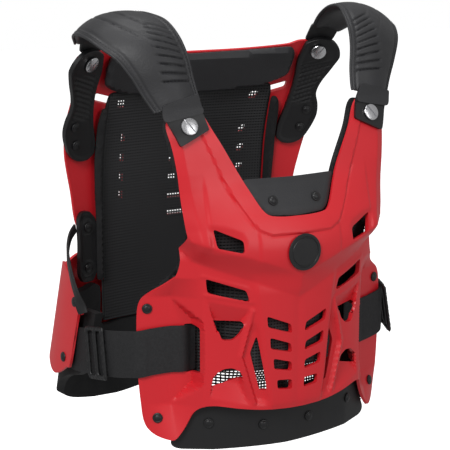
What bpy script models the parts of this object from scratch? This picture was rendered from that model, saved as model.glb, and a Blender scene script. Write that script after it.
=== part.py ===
"""Chest protector: a vented front plate and two back plates, joined by shoulder straps and waist webbing.

Metres, +Z up, the front faces -Y. Every piece is built in the collar frame, whose origin is level with the
collar rivets on the symmetry plane, and is then placed from the shoulder rest, the object's own origin.
"""

import math

import bmesh
import bpy
from mathutils import Matrix, Vector

MM = 0.001

# Where the collar frame lies, seen from the shoulder rest
COLLAR_FORWARD = 103 * MM
COLLAR_DROP = 165 * MM

# Hard plates
PLATE_HALF_WIDTH = 150 * MM
PLATE_HEIGHT = 340 * MM
PLATE_WALL = 3.0 * MM
BACK_HALF_WIDTH = PLATE_HALF_WIDTH * 16 / 15
BACK_HEIGHT = PLATE_HEIGHT * 19 / 17
BACK_DEPTH = 250 * MM
BACK_WALL = 3.0 * MM
WING_REACH = PLATE_HALF_WIDTH * 343 / 300

# Chest curve below the breast line: an ellipse quarter
CHEST_CURVE_WIDTH = PLATE_HALF_WIDTH * 17 / 15
CHEST_CURVE_DEPTH = 143 * MM
CHEST_FRONT = -7 * MM
CHEST_BLEND_TOP = -0.0588 * PLATE_HEIGHT

# Strap recess at each side of the front plate
RECESS_EDGE = 0.64 * PLATE_HALF_WIDTH
RECESS_OUTER = 0.7867 * PLATE_HALF_WIDTH
RECESS_RIM_DEPTH = 18.2 * MM
RECESS_TAB_DEPTH = 47.7 * MM
RECESS_TOP = -0.2882 * PLATE_HEIGHT
RECESS_BOTTOM = -0.6235 * PLATE_HEIGHT
RECESS_FADE = 0.1059 * PLATE_HEIGHT
RECESS_SLANT = 0.0706 * PLATE_HEIGHT
RECESS_WALL = 2.5 * MM
TAB_RISE = 61.5 * MM

# Soft layers
LINER_INSET = 5 * MM
LINER_INSET_FROM = -0.0882 * PLATE_HEIGHT
LINER_INSET_TO = 0.0
LINER_CLEAR = 4.9 * MM
LINER_SPREAD = 1.2
LINER_ZONE_TOP = -0.1618 * PLATE_HEIGHT
LINER_ZONE_FULL = -0.2588 * PLATE_HEIGHT
LINER_RISE_FROM = -0.0294 * PLATE_HEIGHT
LINER_RISE_TO = 0.1618 * PLATE_HEIGHT
LINER_DROP_FROM = 0.5118 * PLATE_HEIGHT
LINER_DROP_TO = 0.5706 * PLATE_HEIGHT
SEAT = 0.5 * MM
LAYER_GAP = 0.9 * MM
RIVET_GAP = 0.9 * MM
PLATE_GAP = 1.4 * MM
FLAP_GAP = 1.2 * MM
NET_THICKNESS = 1.0 * MM
LINER_THICKNESS = 6.5 * MM
BACK_PAD_THICKNESS = 9 * MM
TOP_PAD_THICKNESS = 12 * MM
INSERT_THICKNESS = 3.5 * MM
FLAP_THICKNESS = 3 * MM
FLAP_BACKSET = 11 * MM
FLAP_CURVE_DEPTH = 41.6 * MM
FLAP_KNEE = 0.5467 * PLATE_HALF_WIDTH
FLAP_RISE = 84 * MM
PAD_THICKNESS = 11 * MM
PAD_CROWN = 9 * MM
PAD_SPREAD = 2 * MM
PAD_LIFT = 2.5 * MM

# Straps and fittings
WEB_WIDTH = 49 * MM
WEB_THICKNESS = 2.0 * MM
STRIP_WIDTH = 11 * MM
STRIP_THICKNESS = 3 * MM
SLOT_HEIGHT = 0.15 * PLATE_HEIGHT
SLOT_DEPTH = 9.5 * MM
SLOT_LEVEL = -0.45 * PLATE_HEIGHT
TAB_THICKNESS = 3.0 * MM
LINK_THICKNESS = 5.5 * MM
SIDE_LINK_THICKNESS = 5 * MM
BACK_TAB_THICKNESS = 2.5 * MM
SLIDER_HEIGHT = 56 * MM
SLIDER_LENGTH = 36 * MM
SLIDER_THICKNESS = 4 * MM
SLIDER_BAR = 5 * MM
SCREW_DIAMETER = 17.5 * MM
SCREW_HEIGHT = 2.6 * MM
SCREW_SLOT = 1.8 * MM
RIVET_DIAMETER = 10.5 * MM
RIVET_HEIGHT = 2.2 * MM
BADGE_DIAMETER = 38 * MM
BADGE_THICKNESS = 1.6 * MM

# Mesh pitches, across and up
PLATE_PITCH = (PLATE_HALF_WIDTH * 0.1667, PLATE_HEIGHT * 0.0735)
BACK_PITCH = (PLATE_HALF_WIDTH * 0.16, PLATE_HEIGHT * 0.0706)
SOFT_PITCH = (PLATE_HALF_WIDTH * 0.2, PLATE_HEIGHT * 0.0882)
FINE_PITCH = (PLATE_HALF_WIDTH * 0.1, PLATE_HEIGHT * 0.0441)
FLAP_PITCH = (PLATE_HALF_WIDTH * 0.12, PLATE_HEIGHT * 0.0529)
TRIM_REACH = BACK_DEPTH * 1.6
NORMAL_STEP = 0.5 * MM

# Front plate outline, bottom centre up to the collar. Columns: across / half width, up / plate height
PLATE_OUTLINE = (
    (0.000, -0.643), (0.127, -0.641), (0.260, -0.638), (0.413, -0.629), (0.560, -0.618),
    (0.640, -0.619), (0.687, -0.641), (0.720, -0.674), (0.760, -0.706), (0.807, -0.732),
    (0.887, -0.721), (0.933, -0.703), (0.960, -0.674), (0.980, -0.609), (0.993, -0.529),
    (1.000, -0.388), (0.993, -0.321), (0.970, -0.294), (0.927, -0.278), (0.867, -0.259),
    (0.820, -0.237), (0.790, -0.215), (0.770, -0.176), (0.767, -0.124), (0.787, -0.059),
    (0.800, 0.000), (0.810, 0.050), (0.823, 0.106), (0.840, 0.165), (0.860, 0.224), (0.847, 0.253),
    (0.640, 0.276), (0.607, 0.262), (0.547, 0.209), (0.460, 0.138), (0.380, 0.072), (0.327, 0.026),
    (0.267, -0.024), (0.220, -0.041), (0.000, -0.047),
)

# Vents of one side of the front plate, one polygon a row. Columns repeat: across, up
PLATE_VENTS = (
    (0.623, -0.068, 0.433, -0.106, 0.433, -0.143, 0.607, -0.124),
    (0.627, -0.225, 0.373, -0.265, 0.347, -0.300, 0.617, -0.269),
    (0.573, -0.356, 0.380, -0.362, 0.407, -0.394, 0.460, -0.415, 0.527, -0.415),
    (0.293, -0.409, 0.337, -0.459, 0.270, -0.579, 0.230, -0.579, 0.277, -0.447),
    (0.587, -0.559, 0.573, -0.521, 0.520, -0.503, 0.460, -0.501, 0.407, -0.515, 0.390, -0.538),
    (0.240, -0.346, 0.060, -0.378, 0.050, -0.407, 0.233, -0.381),
    (0.217, -0.413, 0.060, -0.438, 0.050, -0.466, 0.213, -0.449),
    (0.192, -0.479, 0.053, -0.496, 0.050, -0.524, 0.187, -0.513),
    (0.165, -0.547, 0.050, -0.551, 0.045, -0.582, 0.160, -0.576),
)

# Windows of one side of the padded liner, behind those vents. Columns repeat: across, up
LINER_WINDOWS = (
    (0.300, -0.315, 0.560, -0.335, 0.590, -0.560, 0.520, -0.580, 0.045, -0.600, 0.045, -0.345),
    (0.640, -0.065, 0.410, -0.100, 0.410, -0.155, 0.625, -0.135),
    (0.640, -0.215, 0.350, -0.250, 0.330, -0.300, 0.630, -0.290),
)

# Crease lines of one side of the front plate. Columns: across, up, across, up
CREASES = (
    (0.000, -0.2971, 0.780, -0.1590),
    (0.000, -0.2265, 0.780, -0.1025),
    (0.640, -0.2250, 0.640, -0.7200),
    (0.6567, -0.2882, 0.6567, -0.6235),
    (0.7867, -0.2250, 0.7867, -0.7200),
    (0.640, -0.3588, 0.7867, -0.2882),
    (0.640, -0.3680, 0.7700, -0.3050),
    (0.640, -0.5529, 0.7867, -0.6235),
    (0.640, -0.5435, 0.7700, -0.6060),
    (0.640, -0.2235, 1.000, -0.2235),
    (0.620, -0.2882, 1.000, -0.2882),
    (0.620, -0.6235, 1.000, -0.6235),
)

# Foot and brow of the breast's lower edge. Columns: across, up
BREAST_LINES = (((0.000, -0.2971), (0.780, -0.1590)), ((0.000, -0.2265), (0.780, -0.1025)))
BREAST_EDGE = 0.7067 * PLATE_HALF_WIDTH
BREAST_EDGE_LOW = -0.1706 * PLATE_HEIGHT
BREAST_EDGE_HIGH = -0.0647 * PLATE_HEIGHT
BREAST_EDGE_RUN = 0.1733 * PLATE_HALF_WIDTH
BREAST_EDGE_SOFT = 0.06 * PLATE_HALF_WIDTH

# Units of the tables of sections and paths
ACROSS_UNIT = PLATE_HALF_WIDTH * 2 / 3
DEPTH_UNIT = 100 * MM
BACK_DEPTH_UNIT = BACK_DEPTH * 2 / 5
UP_UNIT = PLATE_HEIGHT * 5 / 17

# Upper chest along its height. Columns: up / plate height, centre depth, side sweep, both in depth units
UPPER_CHEST = (
    (-0.324, -0.10, 0.19), (-0.226, -0.13, 0.19), (-0.162, -0.16, 0.18), (-0.118, -0.15, 0.17),
    (-0.059, -0.10, 0.14), (0.000, -0.01, 0.10), (0.062, 0.09, 0.05), (0.191, 0.185, 0.04),
    (0.247, 0.24, 0.05), (0.279, 0.27, 0.04),
)

# Liner depth beside the strap recess. Columns: across / half width, depth in depth units
LINER_BYPASS = (
    (0.300, 0.020), (0.410, 0.170), (0.500, 0.330), (0.560, 0.440),
    (0.615, 0.490), (0.700, 0.496), (0.787, 0.535), (1.000, 0.672),
)

COLLAR_OUTLINE = ((0.000, -0.0457), (0.218, -0.0396), (0.2635, -0.0222), (0.3230, 0.0275), (0.360, 0.0605),
                  (0.357, 0.066), (0.000, 0.063))
FLAP_OUTLINE = ((0.000, -0.774), (0.373, -0.769), (0.747, -0.765), (0.790, -0.759), (0.807, -0.744),
                (0.760, -0.703), (0.707, -0.662), (0.647, -0.626), (0.560, -0.603), (0.000, -0.603))

# Back pieces. Columns: across / back half width, up / back height
BACK_OUTLINE = (
    (0.000, -0.195), (0.375, -0.184), (0.600, -0.163), (0.675, -0.147), (0.738, -0.163),
    (0.819, -0.168), (0.863, -0.137), (0.900, -0.047), (0.931, 0.011), (0.963, 0.076),
    (0.975, 0.158), (0.956, 0.237), (1.000, 0.295), (1.025, 0.326), (0.988, 0.358), (0.912, 0.368),
    (0.750, 0.368), (0.700, 0.358), (0.375, 0.347), (0.000, 0.345),
)
LINK_OUTLINE = (
    (0.787, 0.050), (0.863, 0.047), (0.931, 0.061), (0.981, 0.095), (1.012, 0.137), (1.003, 0.174),
    (0.975, 0.208), (0.988, 0.242), (1.025, 0.279), (1.062, 0.321), (1.038, 0.347), (0.969, 0.374),
    (0.875, 0.379), (0.800, 0.368), (0.781, 0.316), (0.794, 0.263), (0.791, 0.211), (0.769, 0.153),
    (0.741, 0.105), (0.738, 0.068),
)
NET_OUTLINE = ((0.000, -0.448), (0.646, -0.448), (0.646, 0.190), (0.625, 0.226), (0.550, 0.231),
               (0.281, 0.222), (0.000, 0.216))
TOP_PAD_OUTLINE = ((0.000, 0.224), (0.281, 0.229), (0.562, 0.242), (0.688, 0.261), (0.738, 0.274),
                   (0.744, 0.337), (0.713, 0.361), (0.375, 0.353), (0.000, 0.350))
SIDE_PAD_OUTLINE = ((0.655, -0.318), (0.703, -0.318), (0.703, -0.120), (0.730, 0.020), (0.730, 0.150),
                    (0.715, 0.190), (0.690, 0.203), (0.655, 0.203))
SIDE_LINK_OUTLINE = ((0.719, -0.132), (0.775, -0.105), (0.838, -0.105), (0.869, -0.126), (0.862, -0.200),
                     (0.869, -0.290), (0.838, -0.316), (0.750, -0.316), (0.712, -0.290), (0.712, -0.200))

# Vents of one side of the upper back plate. Columns repeat: across, up
BACK_VENTS = (
    (0.470, 0.184, 0.760, 0.218, 0.760, 0.242, 0.470, 0.208),
    (0.456, 0.080, 0.550, 0.100, 0.550, 0.122, 0.456, 0.103),
    (0.456, 0.022, 0.550, 0.042, 0.550, 0.064, 0.456, 0.045),
    (0.456, -0.036, 0.550, -0.016, 0.550, 0.006, 0.456, -0.013),
    (0.456, -0.089, 0.550, -0.069, 0.550, -0.047, 0.456, -0.066),
)
# Vents across the middle of the upper back plate. Columns: up / back height, half length / back half width
MIDDLE_VENTS = ((0.010, 0.085), (-0.048, 0.085), (-0.104, 0.085), (-0.157, 0.085))
MIDDLE_VENT_HEIGHT = 0.0184 * BACK_HEIGHT

# Back spine seen from the side. Columns: up / back height, depth / back depth
BACK_SPINE = (
    (-0.660, 0.996), (-0.500, 1.006), (-0.368, 1.011), (-0.250, 1.012), (-0.158, 1.010),
    (-0.100, 1.006), (-0.047, 0.999), (0.013, 0.988), (0.074, 0.974), (0.130, 0.957),
    (0.185, 0.935), (0.240, 0.908), (0.295, 0.874), (0.350, 0.832), (0.421, 0.770),
)
# How far the back curves forward at its sides. Columns: up / back height, depth / flare depth
BACK_FLARE_DEPTH = 0.1024 * BACK_DEPTH
BACK_FLARE = ((-0.350, 1.30), (-0.158, 1.25), (-0.047, 1.12), (0.055, 1.02), (0.150, 1.12), (0.342, 1.44))

# Lower back plate in plan, centre to front edge of the wing. Columns: across / wing reach,
# depth / back depth, top edge / back height, bottom edge / back height
WING_SECTION = (
    (0.000, 1.060, -0.226, -0.640), (0.180, 1.055, -0.224, -0.640), (0.350, 1.042, -0.218, -0.635),
    (0.520, 1.006, -0.220, -0.620), (0.660, 0.994, -0.225, -0.590), (0.799, 0.972, -0.235, -0.545),
    (0.910, 0.928, -0.250, -0.515), (0.968, 0.868, -0.232, -0.520), (0.991, 0.800, -0.238, -0.545),
    (1.000, 0.728, -0.262, -0.550), (1.000, 0.640, -0.305, -0.515), (0.998, 0.616, -0.318, -0.500),
    (0.997, 0.612, -0.321, -0.352), (0.995, 0.584, -0.335, -0.350),
)
# Outer face of the waist pad inside it, same columns
WAIST_PAD_SECTION = (
    (0.000, 1.040, -0.455, -0.668), (0.250, 1.034, -0.455, -0.672), (0.450, 1.004, -0.455, -0.678),
    (0.630, 0.974, -0.450, -0.680), (0.650, 0.971, -0.335, -0.680), (0.780, 0.945, -0.335, -0.672),
    (0.880, 0.902, -0.338, -0.650), (0.922, 0.846, -0.345, -0.615), (0.942, 0.780, -0.350, -0.580),
    (0.950, 0.700, -0.350, -0.555), (0.950, 0.620, -0.345, -0.540), (0.948, 0.540, -0.342, -0.500),
)
WING_LEAN = 0.20
WING_LEVEL = -0.4118 * PLATE_HEIGHT
WING_WIDENING = 0.17
WING_ROWS = 3
# Rivets of the wing. Columns: name, section row, level above the bottom edge
WING_RIVETS = (("wing_rivet_upper", 9.77, 0.89), ("wing_rivet_lower", 9.5, 0.17))

# Shoulder pad edges, front to back. Columns: inner across, depth, up, outer across, depth, up, in their units
PAD_STATIONS = (
    (0.940, 0.310, 1.010, 1.360, 0.350, 0.920),
    (0.970, 0.380, 1.220, 1.460, 0.430, 1.100),
    (1.010, 0.437, 1.470, 1.560, 0.490, 1.290),
    (1.050, 0.540, 1.650, 1.660, 0.580, 1.450),
    (1.100, 0.730, 1.800, 1.770, 0.740, 1.570),
    (1.170, 0.900, 1.855, 1.830, 0.900, 1.650),
    (1.210, 1.060, 1.870, 1.840, 1.060, 1.680),
    (1.240, 1.250, 1.840, 1.810, 1.240, 1.680),
    (1.260, 1.420, 1.770, 1.760, 1.420, 1.650),
    (1.280, 1.560, 1.680, 1.690, 1.580, 1.600),
    (1.290, 1.660, 1.580, 1.610, 1.700, 1.520),
)
PAD_STEPS = 8
PAD_END = 0.62
TAB_TRIM_BLOCK = 90 * MM

# Waist webbing in plan, inside the front plate to inside the wing. Columns: across, depth, up, in their units
WEB_START = ((0.920, 0.438, -1.530), (0.970, 0.432, -1.530), (1.060, 0.405, -1.530), (1.180, 0.450, -1.530))
WEB_RIGHT = (
    (1.350, 0.519, -1.520), (1.470, 0.563, -1.500), (1.520, 0.597, -1.490), (1.620, 0.860, -1.470),
    (1.650, 1.100, -1.560), (1.680, 1.480, -1.690), (1.706, 1.720, -1.750), (1.690, 1.930, -1.760),
)
WEB_LEFT = (
    (1.350, 0.519, -1.550), (1.490, 0.577, -1.575), (1.575, 0.720, -1.600), (1.625, 0.980, -1.650),
    (1.670, 1.400, -1.720), (1.706, 1.720, -1.755), (1.690, 1.930, -1.760),
)
# Depths between which a path passes from the chest to the back plates, in depth units
CHEST_END = 0.60
WING_START = 1.37
# Path rows that the right and left sliders lie after, and how far each leans off the webbing
SLIDER_ROWS = (6, 7)
SLIDER_LEANS = (4 * MM, 0.5 * MM)
# Elastic strip from the upper back plate over the wing. Columns: across, depth, up, in their units
STRIP_PATH = (
    (1.413, 2.255, -0.575), (1.500, 2.170, -0.620), (1.600, 2.030, -0.710), (1.670, 1.880, -0.800),
    (1.725, 1.710, -0.900), (1.765, 1.540, -1.020), (1.775, 1.420, -1.130), (1.740, 1.370, -1.290),
)

# Rivets and screws. Columns: name, piece below, across / half width of that side, up / height of that side
FASTENERS = (
    ("collar_rivet", "insert", 0.171, 0.000), ("flap_rivet_inner", "flap", 0.187, -0.703),
    ("flap_rivet_outer", "flap", 0.572, -0.682), ("tab_rivet_upper", "plate", 0.933, -0.324),
    ("tab_rivet_lower", "plate", 0.880, -0.664), ("link_rivet_upper", "link", 0.931, 0.155),
    ("link_rivet_lower", "link", 0.906, 0.100), ("side_link_rivet_upper", "side_link", 0.788, -0.153),
    ("side_link_rivet_lower", "side_link", 0.788, -0.274),
)
FRONT_SCREW_AT = (0.72 * PLATE_HALF_WIDTH, 0.2235 * PLATE_HEIGHT)
BACK_SCREW_AT = (0.90 * BACK_HALF_WIDTH, 0.3421 * BACK_HEIGHT)
FRONT_TAB = ((0.580, 0.212), (0.800, 0.170), (0.862, 0.240), (0.890, 0.262), (0.910, 0.330), (0.660, 0.350),
             (0.642, 0.300), (0.612, 0.268))
BACK_TAB = ((0.797, 0.3695), (0.981, 0.3695), (1.000, 0.430), (0.812, 0.445))
BADGE_UP = -0.1529 * PLATE_HEIGHT


def share(value, low, high):
    """How far a value lies between two limits, kept within 0 and 1."""
    return min(1.0, max(0.0, (value - low) / (high - low)))


def along(table, key, column):
    """A column of a table with rising first entries, read between its rows."""
    if key <= table[0][0]:
        return table[0][column]
    for before, after in zip(table, table[1:]):
        if key <= after[0]:
            part = (key - before[0]) / (after[0] - before[0])
            return before[column] + part * (after[column] - before[column])
    return table[-1][column]


def curved(table, key, column):
    """The same along a smooth curve through the rows."""
    if key <= table[0][0] or key >= table[-1][0]:
        return along(table, key, column)
    place = next(i for i, row in enumerate(table) if key <= row[0])
    first, low, high, last = (table[min(max(i, 0), len(table) - 1)] for i in range(place - 2, place + 2))
    span = high[0] - low[0]
    part = (key - low[0]) / span
    leaving = (high[column] - first[column]) / (high[0] - first[0]) * span
    arriving = (last[column] - low[column]) / (last[0] - low[0]) * span
    square, cube = part * part, part ** 3
    return (low[column] * (2 * cube - 3 * square + 1) + leaving * (cube - 2 * square + part)
            + high[column] * (3 * square - 2 * cube) + arriving * (cube - square))


def chest_ellipse(across):
    rest = max(0.02, 1 - (across / CHEST_CURVE_WIDTH) ** 2)
    return CHEST_FRONT + CHEST_CURVE_DEPTH * (1 - math.sqrt(rest))


def recess_zone(up):
    """1 beside the strap recess, fading to 0 above and below it."""
    above = share(-up, -RECESS_TOP - RECESS_FADE * 0.6, -RECESS_TOP)
    below = share(up, RECESS_BOTTOM - RECESS_FADE, RECESS_BOTTOM)
    return above * below


def tab_depth(across):
    return RECESS_TAB_DEPTH + TAB_RISE * (across - RECESS_OUTER) / PLATE_HALF_WIDTH


def lower_chest(across, up):
    depth = chest_ellipse(across)
    if across <= RECESS_EDGE:
        return depth
    slope = (RECESS_TAB_DEPTH - RECESS_RIM_DEPTH) / (RECESS_OUTER - RECESS_EDGE)
    side = RECESS_RIM_DEPTH + slope * (across - RECESS_EDGE) if across < RECESS_OUTER else tab_depth(across)
    depth += recess_zone(up) * (side - depth)
    slant = RECESS_SLANT * (RECESS_OUTER - across) / (RECESS_OUTER - RECESS_EDGE)
    inside = min(across - RECESS_EDGE, RECESS_OUTER - across,
                 RECESS_TOP - slant - up, up - RECESS_BOTTOM - slant)
    return depth + share(inside, 0, RECESS_WALL) * max(0.0, tab_depth(across) - depth)


def upper_chest(across, up):
    level = up / PLATE_HEIGHT
    centre = along(UPPER_CHEST, level, 1) * DEPTH_UNIT
    sweep = along(UPPER_CHEST, level, 2) * DEPTH_UNIT
    return centre + sweep * (across / ACROSS_UNIT) ** 2


def chest(x, up):
    """Depth of the front plate's outer face."""
    across = abs(x)
    upper = upper_chest(across, up)
    if up >= CHEST_BLEND_TOP:
        return upper
    lower = lower_chest(across, up)
    low, high = (along(row, across / PLATE_HALF_WIDTH, 1) * PLATE_HEIGHT for row in BREAST_LINES)
    edge = BREAST_EDGE + share(up, BREAST_EDGE_LOW, BREAST_EDGE_HIGH) * BREAST_EDGE_RUN
    raised = min(share(up, low, high), share(edge - across, 0, BREAST_EDGE_SOFT))
    return lower + (min(upper, lower) - lower) * raised


def flap_face(x, up):
    across = abs(x)
    knee = min(across, FLAP_KNEE)
    bend = FLAP_CURVE_DEPTH * (knee / PLATE_HALF_WIDTH) ** 2
    return FLAP_BACKSET + bend + FLAP_RISE * max(0.0, across - FLAP_KNEE) / PLATE_HALF_WIDTH


def liner_face(x, up):
    """Depth that the front net follows: the plate's inner face, behind the strap recess and the flap."""
    across = abs(x)
    upper, lower = upper_chest(across, up), chest_ellipse(across)
    base = upper + share(-up, LINER_RISE_FROM, LINER_RISE_TO) * (max(upper, lower) - upper)
    depth = base + LINER_CLEAR * math.sqrt(1 + (LINER_SPREAD * across / PLATE_HALF_WIDTH) ** 2)
    bypass = curved(LINER_BYPASS, across / PLATE_HALF_WIDTH, 1) * DEPTH_UNIT
    if across > LINER_BYPASS[0][0] * PLATE_HALF_WIDTH:
        beside = min(share(-up, -LINER_ZONE_TOP, -LINER_ZONE_FULL), recess_zone(min(up, RECESS_TOP)))
        depth += beside * (max(bypass, depth) - depth)
    behind_flap = flap_face(x, up) + FLAP_THICKNESS + FLAP_GAP
    return depth + share(-up, LINER_DROP_FROM, LINER_DROP_TO) * max(0.0, behind_flap - depth)


def back(x, up):
    """Depth of the inner face of the back plate."""
    level = up / BACK_HEIGHT
    flare = curved(BACK_FLARE, level, 1) * BACK_FLARE_DEPTH
    return curved(BACK_SPINE, level, 1) * BACK_DEPTH - flare * (x / BACK_HALF_WIDTH) ** 2


def facing(surface, x, up, distance):
    """The point on a surface moved along its front normal by a distance."""
    slope_x = (surface(x + NORMAL_STEP, up) - surface(x - NORMAL_STEP, up)) / (2 * NORMAL_STEP)
    slope_z = (surface(x, up + NORMAL_STEP) - surface(x, up - NORMAL_STEP)) / (2 * NORMAL_STEP)
    normal = Vector((slope_x, -1, slope_z)).normalized()
    return Vector((x, surface(x, up), up)) + normal * distance, normal


def scaled(shares, width, height):
    return [(across * width, up * height) for across, up in shares]


def pairs(row, width, height):
    return [(row[i] * width, row[i + 1] * height) for i in range(0, len(row), 2)]


def mirrored(half):
    """A full outline from the half at +X, which starts and ends on the symmetry plane."""
    return half + [(-x, z) for x, z in reversed(half) if x > 1e-6]


def flipped(polygon):
    return [(-x, z) for x, z in reversed(polygon)]


def sided(polygon, side):
    return polygon if side > 0 else flipped(polygon)


def material(name, colour, roughness, metallic):
    made = bpy.data.materials.new(name)
    made.use_nodes = True
    shader = made.node_tree.nodes["Principled BSDF"]
    shader.inputs["Base Color"].default_value = (*colour, 1)
    shader.inputs["Roughness"].default_value = roughness
    shader.inputs["Metallic"].default_value = metallic
    made.diffuse_color = (*colour, 1)
    return made


def piece(name, bm, finish, group, at=None):
    """An object from a bmesh, placed from the shoulder rest."""
    bmesh.ops.recalc_face_normals(bm, faces=bm.faces[:])
    mesh = bpy.data.meshes.new(name)
    bm.to_mesh(mesh)
    bm.free()
    made = bpy.data.objects.new(name, mesh)
    group.objects.link(made)
    made.location = COLLAR_AT if at is None else COLLAR_AT + at
    if finish is not None:
        mesh.materials.append(finish)
    return made


def prisms(name, polygons, front, rear):
    """A cutter: polygons across and up, run from the front depth to the rear depth."""
    bm = bmesh.new()
    for polygon in polygons:
        face = bm.faces.new([bm.verts.new((x, front, z)) for x, z in polygon])
        grown = bmesh.ops.extrude_face_region(bm, geom=[face])["geom"]
        moved = [part for part in grown if isinstance(part, bmesh.types.BMVert)]
        bmesh.ops.translate(bm, vec=(0, rear - front, 0), verts=moved)
    cutter = piece(name, bm, None, CUTTERS)
    cutter.hide_render = True
    cutter.display_type = "WIRE"
    return cutter


def cut(target, operation, cutter):
    boolean = target.modifiers.new(cutter.name, "BOOLEAN")
    boolean.operation = operation
    boolean.solver = "EXACT"
    boolean.object = cutter


def surface_grid(surface, distance, low, high, pitch, creases=()):
    """A grid over a surface between two corners, with edges along the crease lines."""
    columns = max(2, round((high[0] - low[0]) / pitch[0]))
    rows = max(2, round((high[1] - low[1]) / pitch[1]))
    bm = bmesh.new()
    bmesh.ops.create_grid(bm, x_segments=columns, y_segments=rows, size=0.5)
    for vert in bm.verts:
        x = low[0] + (vert.co.x + 0.5) * (high[0] - low[0])
        z = low[1] + (vert.co.y + 0.5) * (high[1] - low[1])
        vert.co = (x, 0, z)
    for x0, z0, x1, z1 in creases:
        run = Vector((x1 - x0, 0, z1 - z0))
        margin = pitch[0] * (1.0 if abs(x0 - x1) < 1e-6 else 0.1)
        near = [face for face in bm.faces
                if min(x0, x1) - margin < face.calc_center_median().x < max(x0, x1) + margin
                and min(z0, z1) - pitch[1] < face.calc_center_median().z < max(z0, z1) + pitch[1]]
        geometry = set(near)
        for face in near:
            geometry.update(face.edges)
            geometry.update(face.verts)
        bmesh.ops.bisect_plane(bm, geom=list(geometry), dist=1e-6, plane_co=(x0, 0, z0),
                               plane_no=run.cross(Vector((0, 1, 0))))
    bmesh.ops.triangulate(bm, faces=bm.faces[:])
    for vert in bm.verts:
        vert.co = facing(surface, vert.co.x, vert.co.z, distance)[0]
    return bm


def shell(name, surface, distance, thickness, outline, finish, pitch, windows=(), creases=()):
    """A wall that follows a surface, trimmed to an outline and cut through at its windows."""
    xs = [x for x, z in outline]
    zs = [z for x, z in outline]
    low = (min(xs) - pitch[0] * 0.3, min(zs) - pitch[1] * 0.3)
    high = (max(xs) + pitch[0] * 0.3, max(zs) + pitch[1] * 0.3)
    bm = surface_grid(surface, distance, low, high, pitch, creases)
    made = piece(name, bm, finish, OBJECT)
    if made.data.polygons[0].normal.y > 0:
        made.data.flip_normals()
    wall = made.modifiers.new("wall", "SOLIDIFY")
    wall.thickness = thickness
    wall.offset = -1
    wall.use_even_offset = True
    cut(made, "INTERSECT", prisms(name + "_trim", [outline], -TRIM_REACH, TRIM_REACH))
    if windows:
        cut(made, "DIFFERENCE", prisms(name + "_windows", windows, -TRIM_REACH, TRIM_REACH))
    return made


def band(name, path, width, thickness, finish, widths=None):
    """A flat strap along a path, its face turned away from the body's middle."""
    bm = bmesh.new()
    rings = []
    for i, point in enumerate(path):
        ahead = path[min(i + 1, len(path) - 1)] - path[max(i - 1, 0)]
        ahead.normalize()
        flat = Vector((ahead.y, -ahead.x, 0))
        if flat.dot(Vector((point.x, point.y - MID_DEPTH, 0))) < 0:
            flat.negate()
        flat.normalize()
        rise = ahead.cross(flat).normalized()
        half = (widths[i] if widths else width) / 2
        rings.append([bm.verts.new(point + flat * (s * thickness / 2) + rise * (t * half))
                      for s, t in ((-1, -1), (1, -1), (1, 1), (-1, 1))])
    for before, after in zip(rings, rings[1:]):
        for k in range(4):
            bm.faces.new((before[k], before[(k + 1) % 4], after[(k + 1) % 4], after[k]))
    bm.faces.new(rings[0])
    bm.faces.new(rings[-1])
    return piece(name, bm, finish, OBJECT)


def disc(name, point, normal, diameter, height, finish, sides=10, dome=0.35, slot=0.0):
    """A round head: its flat foot at the point, its face along the normal, with an optional driver slot."""
    bm = bmesh.new()
    radius = diameter / 2
    bmesh.ops.create_cone(bm, cap_ends=True, segments=sides, radius1=radius, radius2=radius * (1 - dome),
                          depth=height, matrix=Matrix.Translation((0, 0, height / 2)))
    made = piece(name, bm, finish, OBJECT, at=point)
    made.rotation_euler = normal.to_track_quat("Z", "Y").to_euler()
    if slot:
        bar = bmesh.new()
        bmesh.ops.create_cube(bar, size=1, matrix=Matrix.Translation((0, 0, height)) @
                              Matrix.Diagonal((slot, diameter * 1.2, height, 1)))
        cutter = piece(name + "_slot", bar, None, CUTTERS, at=point)
        cutter.rotation_euler = made.rotation_euler
        cutter.hide_render = True
        cutter.display_type = "WIRE"
        cut(made, "DIFFERENCE", cutter)
    return made


def wing_point(place, level, table):
    """A point of a section table round the waist: rows from the middle, level 0 at the bottom edge."""
    row = min(int(abs(place)), len(table) - 2)
    part = abs(place) - row
    across, depth, top, bottom = (a + (b - a) * part for a, b in zip(table[row], table[row + 1]))
    up = (bottom + (top - bottom) * level) * BACK_HEIGHT
    spread = 1 + WING_WIDENING * (WING_LEVEL - up) / PLATE_HEIGHT * across ** 2
    lean = WING_LEAN * (WING_LEVEL - up) * share(across, 0.5, 0.9)
    return Vector((math.copysign(across, place) * WING_REACH * spread, depth * BACK_DEPTH + lean, up))


def wing_rivet(name, place, level, side, finish):
    """A rivet on the outer face of the wing."""
    point, before, after, under, over = (
        wing_point((place + row) * side, level + step, WING_SECTION)
        for row, step in ((0, 0), (-0.1, 0), (0.1, 0), (0, -0.05), (0, 0.05)))
    outward = (after - before).cross(over - under).normalized()
    if outward.x * side < 0:
        outward.negate()
    return disc(name, point + outward * (BACK_WALL + SEAT), outward, RIVET_DIAMETER, RIVET_HEIGHT, finish)


def waist_wall(name, table, thickness, offset, finish):
    """A wall swept round the waist: offset -1 builds outward from the table's face, 1 inward."""
    bm = bmesh.new()
    last = len(table) - 1
    grid = [[bm.verts.new(wing_point(place, i / WING_ROWS, table)) for i in range(WING_ROWS + 1)]
            for place in range(-last, last + 1)]
    for before, after in zip(grid, grid[1:]):
        for i in range(WING_ROWS):
            bm.faces.new((before[i], after[i], after[i + 1], before[i + 1]))
    made = piece(name, bm, finish, OBJECT)
    middle = made.data.polygons[len(made.data.polygons) // 2]
    if middle.normal.y > 0:
        made.data.flip_normals()
    wall = made.modifiers.new("wall", "SOLIDIFY")
    wall.thickness = thickness
    wall.offset = offset
    wall.use_even_offset = True
    return made


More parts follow.
